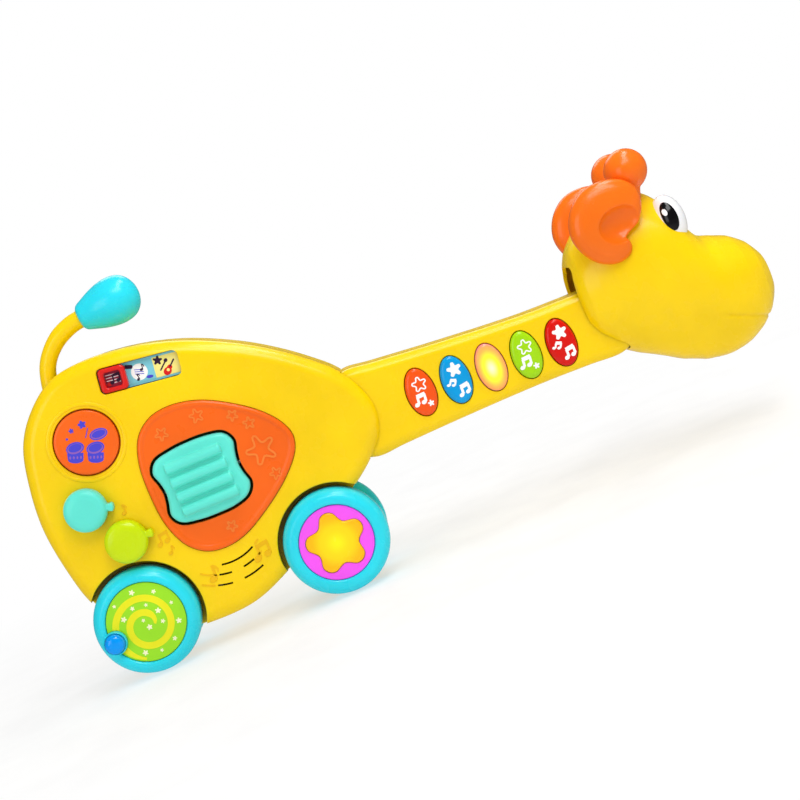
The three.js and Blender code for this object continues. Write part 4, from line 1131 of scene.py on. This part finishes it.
def picture_strip():
    """Three generic pictures behind the slot: sheet music, a record and a small guitar."""
    y = -18.85
    pictures = (("sheet", -15.5, LABEL_PLUM), ("record", 0.4, LABEL_SKY), ("guitar", 16.2, LABEL_STRAW))
    for name, along, look in pictures:
        panel = raised(rounded_box(on_strip(along), 15.6, 11.6, 0.4, SLOT_TILT, 2), y, 0.16)
        dress("casing", look, (make(f"label_{name}", panel),))
    top = y - 0.14
    inks = {"plum": [], "white": [], "dark": [], "red": [], "straw": []}
    for ink, at, a, b, tilt, lift in STRIP_OVALS:
        inks[ink].append(raised(ellipse(on_strip(*at), a, b, tilt), top, lift))
    for ink, start, end, width, lift in STRIP_LINES:
        inks[ink].append(ribbon([on_strip(*start), on_strip(*end)], width, top, lift))
    for kind, at, size, tilt in STRIP_NOTES:
        inks["dark"] += notes(kind, on_strip(*at), size, top, 0.2, tilt)
    # A dark patch at the top left of the record picture: painted shadow, not print.
    inks["dark"].append(raised(rounded_box(on_strip(-5.2, 4.2), 4.6, 2.2, 0.8, -20, 3), top, 0.14))
    inks["dark"].append(raised(star(on_strip(11.4, 3.6), 2.7, 1.5, 0.2, 2, -20), top, 0.15))
    for (ink, forms), look in zip(inks.items(), (PRINT_VIOLET, PRINT_WHITE, PRINT_DARK_AND_PAINTED_SHADOW, RED, LABEL_STRAW)):
        dress("casing", look, (make(f"label_ink_{ink}", merged(*forms)),), slot="label_print")


KEY_EDGE = [(0, 3.4), (0.08, 2.4), (0.35, 1.4), (0.8, 0.6), (1.4, 0.15), (2, 0)]  # (depth, inset)


def key_cap(i):
    profile = [(KEY_FACE + y, inset) for y, inset in KEY_EDGE] + [(-12.4, 0)]
    return make(f"guitar_key_{i + 1}", slab(egg(KEYS[i], 8.35, 14.05, 96), profile))


def key_print(i):
    """Outlined star over a big note, or solid star over a small and a big note."""
    y, lift = KEY_FACE + 0.08, 0.2
    spot = lambda u, v: (KEYS[i][0] + u, KEYS[i][1] + v)
    if i in (0, 3):
        forms = [
            ribbon(star(spot(0.7, 4.6), 4.1, 2.35, 0.16, 4), 0.8, y, lift, closed=True),
            raised(star(spot(3, -7.8), 1.9, 1.05, 0.2, 2), y, lift),
            *notes(NOTE_PAIR, spot(-2.2, -4), 5.4, y, lift, -6, 0.27),
        ]
    else:
        forms = [
            raised(star(spot(1.0, 5.9), 4.3, 2.5, 0.2, 4), y, lift),
            *notes(NOTE_PAIR, spot(-3.2, -0.8), 3.6, y, lift, -30, 0.3),
            *notes(NOTE_PAIR, spot(2, -7), 5.3, y, lift, 0, 0.28),
        ]
    return make(f"key_print_{i + 1}", merged(*forms))


# ---- assembly

def both_sides(piece, material, *nodes, sharp=50):
    """Dresses a play-side piece of the head and its mirrored copy."""
    other = linked(piece.name.replace("front", "rear"), piece.data.copy())
    other.data.transform(Matrix.Diagonal((1, -1, 1, 1)))
    other.data.flip_normals()
    for side, replaced in ((piece, nodes[:1]), (other, nodes[1:])):
        dress("head", material, (side, *replaced), sharp=sharp)


front, rear = body_shells()
front, embossed = body_front(front)
neck_front, neck_rear = neck_shells()
dress(
    "casing", YELLOW, (front, "body_front_shell"), (body_rear(rear), "body_rear_shell"),
    (battery_door(), "battery_door"), (neck_front, "neck_front_shell"), (neck_rear, "neck_rear_shell"),
)
# Painted shade on the embossed notes and staff lines.
dress("casing", SHELL_RELIEF_PAINTED_SHADE, (embossed,))
for n in range(1, 5):
    screw(f"casing_screw_{n}", f"body_screw_{n}", -9)
screw("door_screw", "battery_door_screw", 12.5)

front, rear = head_shells()
dress("head", YELLOW, (front, "head_front_shell"), (rear, "head_rear_shell"), sharp=40)
both_sides(ear(), HORN_ORANGE, "ear_front", "ear_rear", sharp=80)
both_sides(horn(), HORN_ORANGE, "horn_front", "horn_rear", sharp=80)
eye = make("giraffe_eye_front", ball(EYE_AT, EYE_AXES, 96, 64))
both_sides(eye, WHITE, "eye_front", "eye_rear")
both_sides(eye_patch("giraffe_pupil_front", (299.2, 128.2), (4.1, 8.5)), PUPIL)
spark = eye_patch("giraffe_eye_spark_front", (297.3, 131.2), (1.3, 2), 0.99, 1.022)
both_sides(spark, PRINT_WHITE)

dress("tail", YELLOW, (tail_arm(), "tail_arm"))
dress("tail", CYAN, (tail_tip(), "tail_tip"))

dress("rear_wheels", CYAN, (scratch_wheel(), "scratch_wheel"))
label = label_disc("rear_spiral_label", REAR_WHEEL, SPIRAL_R, circle(BEAD, 6.9, 48))
dress("rear_wheels", SPIRAL_GREEN, (label, "spiral_disc"))
dress("rear_wheels", SPIRAL_YELLOW, (spiral_print(),))
dress("rear_wheels", CREAM, (star_prints(),))
dress("rear_wheels", BEAD_BLUE, (bead(), "peg_bead"))
star_wheel = make("front_star_wheel", wheel_form(FRONT_WHEEL, STAR_DISC_R))
dress("front_wheels", CYAN, (star_wheel, "star_wheel"))
disc = label_disc("front_star_label", FRONT_WHEEL, STAR_DISC_R, star_loop(0.3))
dress("front_wheels", MAGENTA, (disc, "star_disc"))
lens = make("front_star_lens", slab(star_loop(), edges(-29.6, LABEL_BACK, 1.3, 0)))
dress("front_wheels", AMBER, (lens, "star_lens"))
far_wheel(REAR_WHEEL, "rear_wheels", "rear_wheel_back", "rear_hub_cap")
far_wheel(FRONT_WHEEL, "front_wheels", "front_wheel_back", "front_hub_cap")

plate, plate_stars = strum_plate()
dress("casing", ORANGE, (plate, "strum_plate"))
# Painted highlight on the plate's embossed stars.
dress("casing", PLATE_RELIEF_PAINTED_HIGHLIGHT, (plate_stars,))
dress("strum", TURQUOISE, (strum_paddle(), "strum_paddle"), sharp=70)
dress("drum", ORANGE, (drum_button(), "drum_button"))
picture, pale_picture = drum_print()
dress("drum", PRINT_VIOLET, (picture,))
dress("drum", PRINT_PALE, (pale_picture,))
dress("volume", TURQUOISE, (knob("volume", -14), "volume_knob"), sharp=70)
dress("mode", LIME, (knob("mode", -2), "mode_knob"), sharp=70)
dress("tune", RED, (tune_slider(), "tune_slider"))
picture_strip()
for i, name in enumerate(KEY_COLOURS):
    dress(f"key{i + 1}", KEY_LOOKS[i], (key_cap(i), f"key_{i + 1}"))
    if name != "pink":
        dress(f"key{i + 1}", PRINT_WHITE, (key_print(i),))

# The hidden CAD pieces keep their shapes and get finishes of their own.
CARRIED = [
    (DARK, "head_pin", "strum_bracket", "volume_switch", "mode_switch", "battery_tray"),
    (STEEL, "tail_pin", "rear_axle", "front_axle", "strum_axle", "speaker_basket"),
    (LAMP, "star_lamp"), (LABEL_SKY, "tune_label"), (SILICONE, "key_mat"), (PAPER, "speaker_cone"),
    (BOARD, "key_board", "main_board"), (JACKET, "battery_cell_1", "battery_cell_2", "battery_cell_3"),
]
for material, *names in CARRIED:
    for name in names:
        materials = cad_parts[name].data.materials
        materials.clear()
        materials.append(material)


# ---- studio

FLOOR_HALF = 9000  # mm


def floor():
    """A wide pale floor under the wheels that brightens into the backdrop."""
    plain = finish("pale_floor", (250, 250, 250), 0.8, 0, grain_scale=60)
    tree = plain.node_tree
    away = wired(tree, "VectorMath", here(tree), operation="LENGTH").outputs["Value"]
    glossy = wired(tree, "LightPath").outputs["Is Glossy Ray"]
    seen = ranged(tree, glossy, 1, 0.2, 0, 1)
    white = wired(tree, "Emission", (1, 1, 1, 1), seen).outputs[0]
    surface = tree.nodes["Principled BSDF"].outputs[0]
    blend = wired(tree, "MixShader", ranged(tree, away, 0.55, 1, 0.1, 0.6), surface, white)
    feed(tree, tree.nodes["Material Output"].inputs["Surface"], blend.outputs[0])
    ground = make("floor", block((-FLOOR_HALF, -FLOOR_HALF, -2), (FLOOR_HALF, FLOOR_HALF, -1)))
    ground.data.materials.append(plain)


def soft_light(name, place, aim, size, power):
    data = bpy.data.lights.new(name, "AREA")
    data.shape = "RECTANGLE"
    data.size, data.size_y = size
    data.energy = power
    lamp = linked(name, data)
    lamp.location = place
    lamp.rotation_euler = (Vector(aim) - Vector(place)).to_track_quat("-Z", "Y").to_euler()


def camera():
    """Straight at the play face, rolled so that the neck points up to the right."""
    data = bpy.data.cameras.new("camera")
    data.lens = 69.4
    data.clip_end = 100
    eye = Vector(row(113.4, -888, 171))
    target = Vector(row(121.6, -28, 91))
    roll = radians(22.5)
    ahead = (target - eye).normalized()
    right = ahead.cross(Vector((sin(roll), 0, cos(roll)))).normalized()
    up = right.cross(ahead)
    holder = linked("camera", data)
    turn = Matrix((right, up, -ahead)).transposed().to_4x4()
    holder.matrix_world = Matrix.Translation(eye) @ turn
    bpy.context.scene.camera = holder


def studio_world():
    """White behind the toy, and a softer white for the light it gives."""
    world = bpy.data.worlds.new("studio")
    world.use_nodes = True
    tree = world.node_tree
    background = tree.nodes["Background"]
    feed(tree, background.inputs["Color"], (1, 1, 1, 1))
    feed(tree, background.inputs["Strength"], 0.46)
    ray = wired(tree, "LightPath")
    light = background.outputs[0]
    for kind, strength in (("Is Glossy Ray", 0.1), ("Is Camera Ray", 1.0)):
        shown = wired(tree, "Background", (1, 1, 1, 1), strength).outputs[0]
        light = wired(tree, "MixShader", ray.outputs[kind], light, shown).outputs[0]
    feed(tree, tree.nodes["World Output"].inputs["Surface"], light)
    bpy.context.scene.world = world


floor()
studio_world()
for name, place, aim_x, size, power in (
    ("key_light", (0.3, -0.85, 1.05), 0, (0.8, 0.45), 6.2),
    ("top_light", (0.45, -0.1, 1.2), 0.03, (1.1, 0.3), 7.5),
    ("fill_light", (-0.9, -1.1, 0.45), 0, (0.6, 0.8), 3),
    ("back_light", (0, 1.2, 1.1), 0.05, (1, 0.6), 4),
):
    soft_light(name, place, (aim_x, 0, 0.1), size, power)
camera()
bpy.context.scene.view_settings.view_transform = "Standard"
